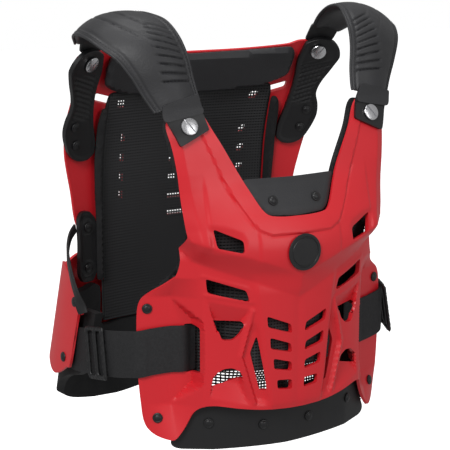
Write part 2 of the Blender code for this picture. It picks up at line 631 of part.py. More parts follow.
def path_points(table, side):
    """Points of a path: their depth follows the chest in front and the back plates behind."""
    points = []
    for across, depth, up in table:
        unit = DEPTH_UNIT + (BACK_DEPTH_UNIT - DEPTH_UNIT) * share(depth, CHEST_END, WING_START)
        points.append(Vector((across * side * ACROSS_UNIT, depth * unit, up * UP_UNIT)))
    return points


def pad_sections(side):
    """Inner edge, outer edge, outward direction and heading of each section of a shoulder pad."""
    rows = list(zip(path_points([row[:3] for row in PAD_STATIONS], side),
                    path_points([row[3:] for row in PAD_STATIONS], side)))
    sections = []
    for i, (inner, outer) in enumerate(rows):
        before, after = rows[max(i - 1, 0)], rows[min(i + 1, len(rows) - 1)]
        ahead = (after[0] + after[1] - before[0] - before[1]).normalized()
        away = ahead.cross(outer - inner).normalized() * -side
        sections.append((inner, outer, away, ahead))
    return sections


def shoulder_pad(name, side, finish):
    """A padded shoulder strap: crowned sections along the shoulder, thin at both edges."""
    bm = bmesh.new()
    rings = []
    sections = pad_sections(side)
    for i, (inner, outer, away, ahead) in enumerate(sections):
        spread = (outer - inner).normalized() * PAD_SPREAD
        inner, outer = inner - spread, outer + spread
        full = PAD_END if i in (0, len(sections) - 1) else 1.0
        ring = []
        for k in range(PAD_STEPS + 1):
            swing = 2 * k / PAD_STEPS - 1
            lift = PAD_LIFT + PAD_CROWN * full * (0.5 - swing ** 2)
            ring.append(bm.verts.new(inner.lerp(outer, k / PAD_STEPS) + away * lift))
        for k in range(PAD_STEPS - 1, 0, -1):
            swing = 2 * k / PAD_STEPS - 1
            lift = PAD_LIFT + PAD_CROWN * full * (0.5 - swing ** 2)
            lift -= PAD_THICKNESS * full * (1 - 0.65 * swing ** 4)
            ring.append(bm.verts.new(inner.lerp(outer, k / PAD_STEPS) + away * lift))
        rings.append(ring)
    count = len(rings[0])
    for before, after in zip(rings, rings[1:]):
        for k in range(count):
            bm.faces.new((before[k], before[(k + 1) % count], after[(k + 1) % count], after[k]))
    bm.faces.new(rings[0])
    bm.faces.new(rings[-1])
    return piece(name, bm, finish, OBJECT)


def clear_of_pad(tab, side, end):
    """Trim a strap tab where the shoulder pad's end face begins: end 0 in front, -1 behind."""
    inner, outer, away, ahead = pad_sections(side)[end]
    outward = (outer - inner).cross(away).normalized()
    outward *= math.copysign(1, outward.dot(-ahead if end == 0 else ahead))
    block = bmesh.new()
    bmesh.ops.create_cube(block, size=TAB_TRIM_BLOCK)
    at = (inner + outer) / 2 + outward * (SEAT - TAB_TRIM_BLOCK / 2)
    cutter = piece(tab.name + "_trim_block", block, None, CUTTERS, at=at)
    cutter.rotation_euler = outward.to_track_quat("Z", "Y").to_euler()
    cutter.hide_render = True
    cutter.display_type = "WIRE"
    cut(tab, "DIFFERENCE", cutter)


def slider(name, before, after, lean, finish):
    """A webbing slider on the outer face of a run of webbing: a flat frame with a bar across its middle."""
    ahead = (after - before).normalized()
    outward = Vector((ahead.y, -ahead.x, 0)).normalized()
    if outward.x * before.x < 0:
        outward.negate()
    centre = (before + after) / 2 + outward * (WEB_THICKNESS / 2 + SEAT + SLIDER_THICKNESS / 2 + lean)
    rise = (outward.cross(ahead) * math.copysign(1, outward.cross(ahead).z)).normalized()
    rise = (rise - outward * (2 * lean / WEB_WIDTH)).normalized()
    across = rise.cross(ahead).normalized()
    turn = Matrix((across, ahead, rise)).transposed().to_euler()
    frame = bmesh.new()
    outer = Matrix.Diagonal((SLIDER_THICKNESS, SLIDER_LENGTH, SLIDER_HEIGHT, 1))
    bmesh.ops.create_cube(frame, size=1, matrix=outer)
    made = piece(name, frame, finish, OBJECT, at=centre)
    made.rotation_euler = turn
    holes = bmesh.new()
    window = (SLIDER_LENGTH - 3 * SLIDER_BAR) / 2
    gap = Matrix.Diagonal((SLIDER_THICKNESS * 3, window, SLIDER_HEIGHT - 2 * SLIDER_BAR, 1))
    for shift in (-1, 1):
        beside = Matrix.Translation((0, shift * (window + SLIDER_BAR) / 2, 0))
        bmesh.ops.create_cube(holes, size=1, matrix=beside @ gap)
    cutter = piece(name + "_windows", holes, None, CUTTERS, at=centre)
    cutter.rotation_euler = turn
    cutter.hide_render = True
    cutter.display_type = "WIRE"
    cut(made, "DIFFERENCE", cutter)
    return made


def build():
    half = (PLATE_HALF_WIDTH, PLATE_HEIGHT)
    back_half = (BACK_HALF_WIDTH, BACK_HEIGHT)
    outline = mirrored(scaled(PLATE_OUTLINE, *half))
    vents = [pairs(row, *half) for row in PLATE_VENTS]
    slot_edge, slot_end = RECESS_EDGE + RECESS_WALL * 0.2, RECESS_EDGE + SLOT_DEPTH
    slot_low, slot_high = SLOT_LEVEL - SLOT_HEIGHT / 2, SLOT_LEVEL + SLOT_HEIGHT / 2
    slot = [(slot_edge, slot_low), (slot_end, slot_low), (slot_end, slot_high), (slot_edge, slot_high)]
    holes = vents + [slot]
    holes += [flipped(polygon) for polygon in holes]
    creases = [(a * half[0], b * half[1], c * half[0], d * half[1]) for a, b, c, d in CREASES]
    creases += [(-a, b, -c, d) for a, b, c, d in creases]
    shell("front_plate", chest, 0, PLATE_WALL, outline, RED, PLATE_PITCH, holes, creases)

    soft_outline = []
    for x, z in scaled(PLATE_OUTLINE[::2] + PLATE_OUTLINE[-1:], *half):
        near_arm = share(-z, LINER_INSET_FROM, LINER_INSET_TO) * share(x, RECESS_EDGE, RECESS_OUTER)
        soft_outline.append((x - LINER_INSET * near_arm, z))
    soft_outline = mirrored(soft_outline)
    shell("front_net", liner_face, 0, NET_THICKNESS, soft_outline, NET, SOFT_PITCH)
    windows = [pairs(row, *half) for row in LINER_WINDOWS]
    windows += [flipped(polygon) for polygon in windows]
    shell("front_liner", liner_face, -(NET_THICKNESS + LAYER_GAP), LINER_THICKNESS, soft_outline, PAD_BLACK,
          SOFT_PITCH, windows)
    shell("collar_insert", chest, -(PLATE_WALL * 0.2), INSERT_THICKNESS,
          mirrored(scaled(COLLAR_OUTLINE, *half)), LEATHER, SOFT_PITCH)
    shell("belly_flap", flap_face, 0, FLAP_THICKNESS,
          mirrored(scaled(FLAP_OUTLINE, *half)), RUBBER, FLAP_PITCH)

    middle = []
    for up, length in MIDDLE_VENTS:
        across, low = length * BACK_HALF_WIDTH, up * BACK_HEIGHT
        high = low + MIDDLE_VENT_HEIGHT
        middle.append([(-across, low), (across, low), (across, high), (-across, high)])
    back_vents = [pairs(row, *back_half) for row in BACK_VENTS]
    back_vents += [flipped(polygon) for polygon in back_vents]
    shell("upper_back_plate", back, 0, BACK_WALL, mirrored(scaled(BACK_OUTLINE, *back_half)), RED, BACK_PITCH,
          back_vents + middle)
    waist_wall("lower_back_plate", WING_SECTION, BACK_WALL, -1, RED)
    waist_wall("back_waist_pad", WAIST_PAD_SECTION, BACK_PAD_THICKNESS, 1, PAD_BLACK)
    shell("back_net", back, SEAT + NET_THICKNESS, NET_THICKNESS,
          mirrored(scaled(NET_OUTLINE, *back_half)), NET, SOFT_PITCH)
    shell("back_top_pad", back, LAYER_GAP + TOP_PAD_THICKNESS, TOP_PAD_THICKNESS,
          mirrored(scaled(TOP_PAD_OUTLINE, *back_half)), LEATHER, FINE_PITCH)
    for tag, side, webbing, row, lean in zip("rl", (1, -1), (WEB_RIGHT, WEB_LEFT), SLIDER_ROWS, SLIDER_LEANS):
        shell("back_side_pad_" + tag, back, LAYER_GAP + BACK_PAD_THICKNESS, BACK_PAD_THICKNESS,
              sided(scaled(SIDE_PAD_OUTLINE, *back_half), side), PAD_BLACK, SOFT_PITCH)
        shell("shoulder_link_" + tag, back, SEAT + LINK_THICKNESS, LINK_THICKNESS,
              sided(scaled(LINK_OUTLINE, *back_half), side), BLACK, SOFT_PITCH)
        shell("side_link_" + tag, back, SEAT + SIDE_LINK_THICKNESS, SIDE_LINK_THICKNESS,
              sided(scaled(SIDE_LINK_OUTLINE, *back_half), side), BLACK, SOFT_PITCH)
        shoulder_pad("shoulder_pad_" + tag, side, LEATHER)
        tab = shell("front_strap_tab_" + tag, chest, PLATE_GAP + TAB_THICKNESS, TAB_THICKNESS,
                    sided(scaled(FRONT_TAB, *half), side), BLACK, FINE_PITCH)
        clear_of_pad(tab, side, 0)
        tab = shell("back_strap_tab_" + tag, back, 0, BACK_TAB_THICKNESS,
                    sided(scaled(BACK_TAB, *back_half), side), BLACK, FINE_PITCH)
        clear_of_pad(tab, side, -1)
        for name, place, level in WING_RIVETS:
            wing_rivet(name + "_" + tag, place, level, side, BLACK)
        path = path_points(WEB_START + webbing, side)
        band("waist_strap_" + tag, path, WEB_WIDTH, WEB_THICKNESS, WEBBING)
        slider("strap_slider_" + tag, path[row], path[row + 1], lean, BLACK)
        band("side_strip_" + tag, path_points(STRIP_PATH, side), STRIP_WIDTH, STRIP_THICKNESS, RUBBER)
        point, normal = facing(chest, FRONT_SCREW_AT[0] * side, FRONT_SCREW_AT[1],
                               PLATE_GAP + SEAT + TAB_THICKNESS)
        disc("front_screw_" + tag, point, normal, SCREW_DIAMETER, SCREW_HEIGHT, STEEL, 24, 0.12, SCREW_SLOT)
        point, normal = facing(back, BACK_SCREW_AT[0] * side, BACK_SCREW_AT[1], SEAT * 2 + LINK_THICKNESS)
        disc("back_screw_" + tag, point, normal, SCREW_DIAMETER, SCREW_HEIGHT, STEEL, 24, 0.12, SCREW_SLOT)
        for name, below, across, up in FASTENERS:
            surface, lift, unit = CARRIERS[below]
            point, normal = facing(surface, across * unit[0] * side, up * unit[1], lift)
            disc(name + "_" + tag, point, normal, RIVET_DIAMETER, RIVET_HEIGHT, BLACK)
    point, normal = facing(chest, 0, BADGE_UP, SEAT)
    disc("badge", point, normal, BADGE_DIAMETER, BADGE_THICKNESS, BLACK, 40, 0.04)


COLLAR_AT = Vector((0, -COLLAR_FORWARD, -COLLAR_DROP))
# What each rivet sits on. Columns: surface, height of its face over that surface, outline unit
CARRIERS = {
    "insert": (chest, SEAT - PLATE_WALL * 0.2, (PLATE_HALF_WIDTH, PLATE_HEIGHT)),
    "flap": (flap_face, SEAT, (PLATE_HALF_WIDTH, PLATE_HEIGHT)),
    "plate": (chest, RIVET_GAP, (PLATE_HALF_WIDTH, PLATE_HEIGHT)),
    "link": (back, SEAT + RIVET_GAP + LINK_THICKNESS, (BACK_HALF_WIDTH, BACK_HEIGHT)),
    "side_link": (back, SEAT + RIVET_GAP + SIDE_LINK_THICKNESS, (BACK_HALF_WIDTH, BACK_HEIGHT)),
}
MID_DEPTH = 120 * MM

for leftover in list(bpy.data.objects):
    bpy.data.objects.remove(leftover, do_unlink=True)

OBJECT = bpy.data.collections.new("chest_protector")
CUTTERS = bpy.data.collections.new("cutters")
bpy.context.scene.collection.children.link(OBJECT)
bpy.context.scene.collection.children.link(CUTTERS)

RED = material("red_plastic", (0.75, 0.03, 0.04), 0.35, 0.0)
BLACK = material("black_plastic", (0.02, 0.02, 0.022), 0.45, 0.0)
PAD_BLACK = material("black_padding", (0.03, 0.03, 0.032), 0.65, 0.0)
NET = material("black_net", (0.015, 0.015, 0.015), 0.8, 0.0)
LEATHER = material("dark_grey_cover", (0.07, 0.07, 0.075), 0.5, 0.0)
RUBBER = material("black_rubber", (0.03, 0.03, 0.03), 0.6, 0.0)
WEBBING = material("black_webbing", (0.02, 0.02, 0.02), 0.8, 0.0)
STEEL = material("brushed_steel", (0.7, 0.7, 0.7), 0.3, 1.0)

build()
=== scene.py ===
import math

import bmesh
import bpy
import numpy as np
from mathutils import Matrix, Vector
from mathutils.geometry import delaunay_2d_cdt

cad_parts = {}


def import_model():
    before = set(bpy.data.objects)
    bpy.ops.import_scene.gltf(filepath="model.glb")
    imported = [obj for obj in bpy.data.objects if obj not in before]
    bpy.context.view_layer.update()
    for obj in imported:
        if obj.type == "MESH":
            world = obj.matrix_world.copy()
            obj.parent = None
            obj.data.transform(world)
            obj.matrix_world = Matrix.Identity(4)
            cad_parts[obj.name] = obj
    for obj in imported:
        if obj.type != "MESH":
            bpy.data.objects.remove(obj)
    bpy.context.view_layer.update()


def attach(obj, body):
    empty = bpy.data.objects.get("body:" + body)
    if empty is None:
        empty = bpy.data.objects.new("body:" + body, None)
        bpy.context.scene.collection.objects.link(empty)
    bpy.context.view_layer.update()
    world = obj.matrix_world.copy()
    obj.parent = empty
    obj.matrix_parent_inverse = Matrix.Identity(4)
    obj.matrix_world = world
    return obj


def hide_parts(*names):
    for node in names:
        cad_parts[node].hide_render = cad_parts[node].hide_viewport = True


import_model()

# Everything up to the lights is in millimetres in the collar frame: x across, y to the back, z up. Its origin
# is level with the collar rivets, on the symmetry plane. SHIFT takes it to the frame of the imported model.
SHIFT = np.array([0.0, -103.0, -165.0])
PER_METRE = 1000.0

# Half width and height of the chest plate, and half width, height and depth of the back
WIDE, TALL = 150.0, 340.0
BACK_WIDE, BACK_TALL, BACK_DEEP = 160.0, 380.0, 250.0
CHEST_SIZE = (WIDE, TALL)
BACK_SIZE = (BACK_WIDE, BACK_TALL)
WALL = 3.0
TORSO_MIDDLE = 120.0
HUNDRED = 100.0

# Outlines, right halves or one side, as shares of those sizes: across, up
PLATE_OUTLINE = (
    (0.000, -0.643), (0.127, -0.641), (0.260, -0.638), (0.413, -0.629), (0.560, -0.618),
    (0.640, -0.619), (0.687, -0.641), (0.720, -0.674), (0.760, -0.706), (0.807, -0.732),
    (0.887, -0.721), (0.933, -0.703), (0.960, -0.674), (0.980, -0.609), (0.993, -0.529),
    (1.000, -0.388), (0.993, -0.321), (0.970, -0.294), (0.927, -0.278), (0.867, -0.259),
    (0.820, -0.237), (0.790, -0.215), (0.770, -0.176), (0.767, -0.124), (0.787, -0.059),
    (0.800, 0.000), (0.810, 0.050), (0.823, 0.106), (0.840, 0.165), (0.860, 0.224), (0.847, 0.253),
    (0.640, 0.276), (0.607, 0.262), (0.547, 0.209), (0.460, 0.138), (0.380, 0.072), (0.327, 0.026),
    (0.267, -0.024), (0.220, -0.041), (0.000, -0.047),
)
COLLAR_OUTLINE = ((0.000, -0.0457), (0.218, -0.0396), (0.2635, -0.0222), (0.3230, 0.0275), (0.360, 0.0605),
                  (0.357, 0.066), (0.000, 0.063))
FLAP_OUTLINE = ((0.000, -0.774), (0.373, -0.769), (0.747, -0.765), (0.790, -0.759), (0.807, -0.744),
                (0.760, -0.703), (0.707, -0.662), (0.647, -0.626), (0.560, -0.603), (0.000, -0.603))
BACK_OUTLINE = (
    (0.000, -0.195), (0.375, -0.184), (0.600, -0.163), (0.675, -0.147), (0.738, -0.163),
    (0.819, -0.168), (0.863, -0.137), (0.900, -0.047), (0.931, 0.011), (0.963, 0.076),
    (0.975, 0.158), (0.956, 0.237), (1.000, 0.295), (1.025, 0.326), (0.988, 0.358), (0.912, 0.368),
    (0.750, 0.368), (0.700, 0.358), (0.375, 0.347), (0.000, 0.345),
)
LINK_OUTLINE = (
    (0.787, 0.050), (0.863, 0.047), (0.931, 0.061), (0.981, 0.095), (1.012, 0.137), (1.003, 0.174),
    (0.975, 0.208), (0.988, 0.242), (1.025, 0.279), (1.062, 0.321), (1.038, 0.347), (0.969, 0.374),
    (0.875, 0.379), (0.800, 0.368), (0.781, 0.316), (0.794, 0.263), (0.791, 0.211), (0.769, 0.153),
    (0.741, 0.105), (0.738, 0.068),
)
NET_OUTLINE = ((0.000, -0.448), (0.646, -0.448), (0.655, 0.210), (0.640, 0.236), (0.560, 0.238),
               (0.281, 0.225), (0.000, 0.219))
BACKING_OUTLINE = (
    (0.000, -0.448), (0.650, -0.448), (0.650, -0.350), (0.615, -0.300), (0.615, -0.200), (0.650, -0.150),
    (0.658, 0.210), (0.642, 0.238), (0.560, 0.240), (0.281, 0.226), (0.000, 0.220),
)
TOP_PAD_OUTLINE = ((0.000, 0.224), (0.281, 0.229), (0.562, 0.242), (0.688, 0.261), (0.738, 0.274),
                   (0.744, 0.337), (0.713, 0.361), (0.375, 0.353), (0.000, 0.350))
SIDE_PAD_OUTLINE = ((0.655, -0.318), (0.714, -0.318), (0.714, -0.120), (0.730, 0.020), (0.730, 0.150),
                    (0.715, 0.190), (0.690, 0.203), (0.655, 0.203))
SIDE_LINK_OUTLINE = ((0.719, -0.132), (0.775, -0.105), (0.838, -0.105), (0.869, -0.126), (0.862, -0.200),
                     (0.869, -0.290), (0.838, -0.316), (0.750, -0.316), (0.712, -0.290), (0.712, -0.200))
FRONT_TAB = ((0.580, 0.212), (0.800, 0.170), (0.862, 0.240), (0.890, 0.262), (0.893, 0.272), (0.646, 0.312),
             (0.642, 0.300), (0.612, 0.268))
FRONT_PATCH = ((0.606, 0.266), (0.612, 0.262), (0.878, 0.238), (0.892, 0.250), (0.900, 0.290), (0.650, 0.322))
BACK_TAB = ((0.797, 0.3695), (0.981, 0.3695), (0.995, 0.405), (0.810, 0.418))

# Vents as shares of the same sizes: each row is across, up, across, up and so on round its corners
PLATE_VENTS = (
    (0.623, -0.068, 0.433, -0.106, 0.433, -0.143, 0.607, -0.124),
    (0.627, -0.225, 0.373, -0.265, 0.347, -0.300, 0.617, -0.269),
    (0.573, -0.356, 0.380, -0.362, 0.407, -0.394, 0.460, -0.415, 0.527, -0.415),
    (0.293, -0.409, 0.337, -0.459, 0.270, -0.579, 0.230, -0.579, 0.277, -0.447),
    (0.587, -0.559, 0.573, -0.521, 0.520, -0.503, 0.460, -0.501, 0.407, -0.515, 0.390, -0.538),
    (0.240, -0.346, 0.060, -0.378, 0.050, -0.407, 0.233, -0.381),
    (0.217, -0.413, 0.060, -0.438, 0.050, -0.466, 0.213, -0.449),
    (0.192, -0.479, 0.053, -0.496, 0.050, -0.524, 0.187, -0.513),
    (0.165, -0.547, 0.050, -0.551, 0.045, -0.582, 0.160, -0.576),
    (0.643, -0.375, 0.703, -0.375, 0.703, -0.525, 0.643, -0.525),
)
LINER_WINDOWS = (
    (0.300, -0.530, 0.585, -0.530, 0.590, -0.575, 0.520, -0.590, 0.045, -0.605, 0.045, -0.545),
)
STRAP_SLOT = (0.470, 0.184, 0.760, 0.218, 0.760, 0.242, 0.470, 0.208)
BACKING_SLOT = (0.500, 0.188, 0.560, 0.194, 0.560, 0.218, 0.500, 0.212)

# Vents of the back plate. The slanted ones have levels, a near end and a height there. The level ones in the
# middle have a half length, and a height in mm in the plate and in the backing of the net.
SIDE_VENT_LEVELS = (0.080, 0.022, -0.036, -0.089)
SIDE_VENT_START, SIDE_VENT_TALL = 0.456, 0.023
MIDDLE_VENT_LEVELS = (0.010, -0.048, -0.104, -0.157)
MIDDLE_VENT_HALF = 0.085
MIDDLE_VENT_TALL, BACKING_VENT_TALL = 7.0, 6.84

# Breast and neck of the plate: level, depth in the middle and bend, both in hundreds
UPPER_CHEST = (
    (-0.324, -0.10, 0.19), (-0.226, -0.13, 0.19), (-0.162, -0.16, 0.18), (-0.118, -0.15, 0.17),
    (-0.059, -0.10, 0.14), (0.000, -0.01, 0.10), (0.062, 0.09, 0.05), (0.191, 0.185, 0.04),
    (0.247, 0.24, 0.05), (0.279, 0.27, 0.04),
)
# Liner beside the chest: across, depth in hundreds
LINER_BYPASS = (
    (0.300, 0.020), (0.410, 0.170), (0.500, 0.330), (0.560, 0.440), (0.615, 0.490), (0.700, 0.496),
    (0.787, 0.535), (1.000, 0.672),
)
# Back: level, depth in the middle
BACK_SPINE = (
    (-0.660, 0.996), (-0.500, 1.006), (-0.368, 1.011), (-0.250, 1.012), (-0.158, 1.010), (-0.100, 1.006),
    (-0.047, 0.999), (0.013, 0.988), (0.074, 0.974), (0.130, 0.957), (0.185, 0.935), (0.240, 0.908),
    (0.295, 0.874), (0.350, 0.832), (0.421, 0.770),
)
# Back: level, bend round the torso
BACK_FLARE = ((-0.350, 1.30), (-0.158, 1.25), (-0.047, 1.12), (0.055, 1.02), (0.150, 1.12), (0.342, 1.44))
# Walls round the waist from the middle of the back to the front: across, depth, top, bottom
WING_SECTION = (
    (0.000, 1.060, -0.226, -0.640), (0.180, 1.055, -0.224, -0.640), (0.350, 1.042, -0.218, -0.635),
    (0.520, 1.006, -0.220, -0.620), (0.660, 0.994, -0.225, -0.590), (0.799, 0.972, -0.235, -0.545),
    (0.910, 0.928, -0.250, -0.515), (0.968, 0.868, -0.232, -0.520), (0.991, 0.800, -0.238, -0.545),
    (1.000, 0.728, -0.262, -0.550), (1.000, 0.640, -0.305, -0.515), (0.998, 0.616, -0.318, -0.500),
    (0.997, 0.612, -0.321, -0.352), (0.995, 0.584, -0.335, -0.350),
)
WAIST_PAD_SECTION = (
    (0.000, 1.040, -0.455, -0.668), (0.250, 1.034, -0.455, -0.672), (0.450, 1.004, -0.455, -0.678),
    (0.630, 0.974, -0.450, -0.680), (0.650, 0.971, -0.335, -0.680), (0.780, 0.945, -0.335, -0.672),
    (0.880, 0.902, -0.338, -0.650), (0.922, 0.846, -0.345, -0.615), (0.942, 0.780, -0.350, -0.580),
    (0.950, 0.700, -0.350, -0.555), (0.950, 0.620, -0.345, -0.540), (0.948, 0.540, -0.342, -0.500),
)
# Shoulder pads from front to back, in hundreds: x, y, z of the inner edge, x, y, z of the outer edge
PAD_STATIONS = (
    (0.940, 0.310, 1.010, 1.360, 0.350, 0.920), (0.970, 0.380, 1.220, 1.460, 0.430, 1.100),
    (1.010, 0.437, 1.470, 1.560, 0.490, 1.290), (1.050, 0.540, 1.650, 1.660, 0.580, 1.450),
    (1.100, 0.730, 1.800, 1.770, 0.740, 1.570), (1.170, 0.900, 1.855, 1.830, 0.900, 1.650),
    (1.210, 1.060, 1.870, 1.840, 1.060, 1.680), (1.240, 1.250, 1.840, 1.810, 1.240, 1.680),
    (1.260, 1.420, 1.770, 1.760, 1.420, 1.650), (1.280, 1.560, 1.680, 1.690, 1.580, 1.600),
    (1.290, 1.660, 1.580, 1.610, 1.700, 1.520),
)
# Middle of the waist webbing and of the side strips from front to back, in hundreds: x, y, z
WEB_START = ((0.920, 0.438, -1.530), (0.970, 0.432, -1.530), (1.060, 0.405, -1.530), (1.180, 0.450, -1.530))
WEB_RIGHT = (
    (1.350, 0.519, -1.520), (1.470, 0.563, -1.500), (1.520, 0.597, -1.490), (1.620, 0.860, -1.470),
    (1.650, 1.100, -1.560), (1.680, 1.480, -1.690), (1.706, 1.720, -1.750), (1.690, 1.930, -1.760),
)
WEB_LEFT = (
    (1.350, 0.519, -1.550), (1.490, 0.577, -1.575), (1.575, 0.720, -1.600), (1.625, 0.980, -1.650),
    (1.670, 1.400, -1.720), (1.706, 1.720, -1.755), (1.690, 1.930, -1.760),
)
STRIP_PATH = (
    (1.413, 2.255, -0.575), (1.500, 2.170, -0.620), (1.600, 2.030, -0.710), (1.670, 1.880, -0.800),
    (1.725, 1.710, -0.900), (1.765, 1.540, -1.020), (1.775, 1.420, -1.130), (1.740, 1.370, -1.290),
)

# Lower chest: an ellipse whose middle lies at CHEST_MIDDLE, with the flat tabs beside it
CHEST_MIDDLE, CHEST_DEEP, CHEST_REACH, CHEST_END = -7.0, 143.0, 170.0, 0.02
TAB_START, TAB_EDGE, TAB_DEPTH, TAB_SLOPE = 96.0, 118.0, 47.7, 0.41
WALL_DEPTH, WALL_SLOPE = 18.2, 1.341
BESIDE_TOP, BESIDE_FOOT = (76.4, 98.0), (-248.0, -212.0)
TAB_TOP, TAB_FOOT, TAB_SLANT, TAB_BLEND = -98.0, -212.0, 24.0, 1.6
NECK_LEVEL = -20.0

# Where the breast rises from the lower chest: distance from the middle, level
FOLD_LOW = ((0, -101.0), (117, -54.1))
FOLD_HIGH = ((0, -77.0), (20, -68.0), (47, -58.0), (68, -51.0), (117, -35.0))
BREAST_LOW = ((0, -101), (29, -88), (44, -82), (66, -76), (90, -68), (99, -63), (108, -50), (116, -33))
BREAST_HIGH = ((0, -77), (20, -68), (47, -58), (68, -50), (103, -47), (117, -30))
NECK_CREASE = ((0, -34), (36, -33), (47, -28), (54, -19), (63, -4), (70, 10), (78, 27))
NECK_CREASE_END = ((100, 80),)
SIDE_RIB = ((50, -112), (54, -131), (61, -159), (47, -208))
VENT_LIP = ((97, -74), (54, -88), (49, -103), (95, -94))

# Edges of raised panels: level, distance from the middle
RIDGE = ((-250, 27), (-212, 30), (-186, 34), (-146, 38), (-111, 42), (-82, 46), (-60, 49))
RIDGE_WIDTH = ((-215, 3.0), (-150, 5.0), (-90, 9.0))
PANEL_EDGE = ((-60, 100), (-35, 106), (-15, 108), (10, 111), (40, 115), (78, 119), (100, 121))
SIDE_RIB_EDGE = tuple((level, across) for across, level in reversed(SIDE_RIB))

# Lines that bound the scoops, the hollow on their left: across, level, across, level
UPPER_SCOOP = ((93, -99.5, 50, -110.5), (50, -110, 58, -126), (86, -122, 93, -99))
LOWER_SCOOP = ((51, -211, 91, -202), (59.5, -181, 51, -211), (91, -202, 87.5, -184))
UPPER_SCOOP_RUN, LOWER_SCOOP_RUN = 17.0, 20.0
UPPER_SCOOP_FOOT, LOWER_SCOOP_TOP = -132, -179
SCOOP_DEEP, SCOOP_SIDE = 7.5, 1.6

# Belly flap: depth in the middle, bend, where it turns straight and the slope there
FLAP_MIDDLE, FLAP_BEND, FLAP_KNEE, FLAP_SLOPE = 11.0, 0.00185, 82.0, 0.56

# Lower back and waist pad: half width, its level, and how much they spread and lean below that level
WAIST_HALF, WAIST_LEVEL, WAIST_SPREAD, WAIST_LEAN = 171.5, -140.0, 0.5, 0.20

# Profiles of round heads: radius, height
SCREW_PROFILE = ((8.6, 0), (8.75, 0.4), (8.75, 1.5), (8.3, 2.0), (7.0, 2.4), (4.0, 2.7), (0.3, 2.8))
SCREW_SLOT_WIDE, SCREW_SLOT_HALF, SCREW_SLOT_FLOOR, SCREW_SLOT_TOP = 1.6, 9.5, 1.3, 9.0
RIVET_PROFILE = (
    (5.3, 0), (5.3, 0.5), (5.0, 1.0), (4.2, 1.3), (3.7, 1.15), (3.3, 1.5), (2.6, 2.0), (1.2, 2.2),
    (0.2, 2.25),
)
BADGE_PROFILE = (
    (18.6, 0), (19, 0.5), (19, 1.2), (18.4, 1.6), (16.2, 1.6), (15.8, 1.0), (14.6, 1.0), (14.2, 1.5),
    (0.5, 1.7),
)
BADGE_LEVEL, BADGE_LIFT = -52, 4.0

# Nets: distance between the strands and their width
NET_PITCH, STRAND_WIDE, STRAND_LIFT = 3.3, 1.9, 0.22

# Webbing, strips and the sliders on the webbing
WEBBING_WIDE, WEBBING_THICK, WEBBING_RIB, WEBBING_STEP = 49, 1.6, 0.24, 1.15
STRIP_WIDE, STRIP_THICK, STRIP_STEP = 11, 3, 2.5
SLIDER_HALF_LONG, SLIDER_HALF_TALL, SLIDER_ROUND, SLIDER_LIFT = 18, 28, 2.0, 3.5
SLIDER_GAP_START, SLIDER_GAP_END, SLIDER_GAP_HALF_TALL, SLIDER_GAP_PITCH = -13, -2.5, 23, 15.5
SLIDER_CROWN, SLIDER_EDGE = 1.7, 0.3

# Shoulder pads: lift and height of the crown, thickness, length of the rounded ends, share of height there
PAD_LIFT, PAD_CROWN, PAD_THICK, PAD_END, PAD_END_SHARE = 2.5, 9.0, 11.0, 9.0, 0.55
PAD_LONG, PAD_SPREAD = 245.0, 2.0
PAD_ROWS, PAD_STEPS = ((200, 56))
BINDING_RADIUS, BINDING_DROP = 1.5, 1.2
STITCH_ROW, STITCH_LIFT = 0.91, 0.1
GROOVE_DEEP, ARC_DEEP, SEAM_DEEP = 2.3, 1.5, 1.2

# Triangles of the chest plate, which carries the fine relief
PLATE_PITCH = 1.8


# Blends and curves
def ramp(value, low, high):
    """0 up to low and 1 from high, straight between them."""
    return np.clip((value - low) / (high - low), 0.0, 1.0)


def ease(value, low, high):
    """Like ramp, with soft ends."""
    part = ramp(value, low, high)
    return part * part * (3 - 2 * part)


def bell(distance, width):
    """1 at distance 0, falling away over a width."""
    return np.exp(-(distance / width) ** 2)


def between(table, key):
    """The second column of a table, straight between its rows."""
    rows = np.array(table, float)
    return np.interp(key, rows[:, 0], rows[:, 1])


def hermite(start, end, start_run, end_run, t):
    """A smooth step from start to end that leaves and arrives along the two runs."""
    return (start * (2 * t**3 - 3 * t**2 + 1) + start_run * (t**3 - 2 * t**2 + t)
            + end * (3 * t**2 - 2 * t**3) + end_run * (t**3 - t**2))


def curved(table, key, column):
    """A column of a table along a smooth curve through its rows."""
    rows = np.array(table)
    places, values = rows[:, 0], rows[:, column]
    slopes = np.gradient(values, places)
    key = np.clip(key, places[0], places[-1])
    row = np.clip(np.searchsorted(places, key) - 1, 0, len(places) - 2)
    span = places[row + 1] - places[row]
    t = (key - places[row]) / span
    return hermite(values[row], values[row + 1], slopes[row] * span, slopes[row + 1] * span, t)


def unit(vectors):
    """Vectors, the last axis their parts, brought to length 1."""
    return vectors / np.linalg.norm(vectors, axis=-1, keepdims=True)


def path_run(points):
    """How far along a path each of its points lies."""
    return np.concatenate([[0], np.cumsum(np.linalg.norm(np.diff(points, axis=0), axis=1))])


def along_path(rows, run, at):
    """The row that lies at a distance along a path."""
    return np.array([np.interp(at, run, rows[:, k]) for k in range(3)])


def line_side(x, z, x0, z0, x1, z1):
    """Distance from a line, above 0 on the left of its run."""
    length = math.hypot(x1 - x0, z1 - z0)
    return ((x1 - x0) * (z - z0) - (z1 - z0) * (x - x0)) / length


def path_distance(x, z, path):
    """Distance from a run of straight lines."""
    best = np.full(np.shape(x), 1e9)
    for (x0, z0), (x1, z1) in zip(path, path[1:]):
        run = np.array([x1 - x0, z1 - z0])
        t = np.clip(((x - x0) * run[0] + (z - z0) * run[1]) / run.dot(run), 0, 1)
        best = np.minimum(best, np.hypot(x - x0 - t * run[0], z - z0 - t * run[1]))
    return best


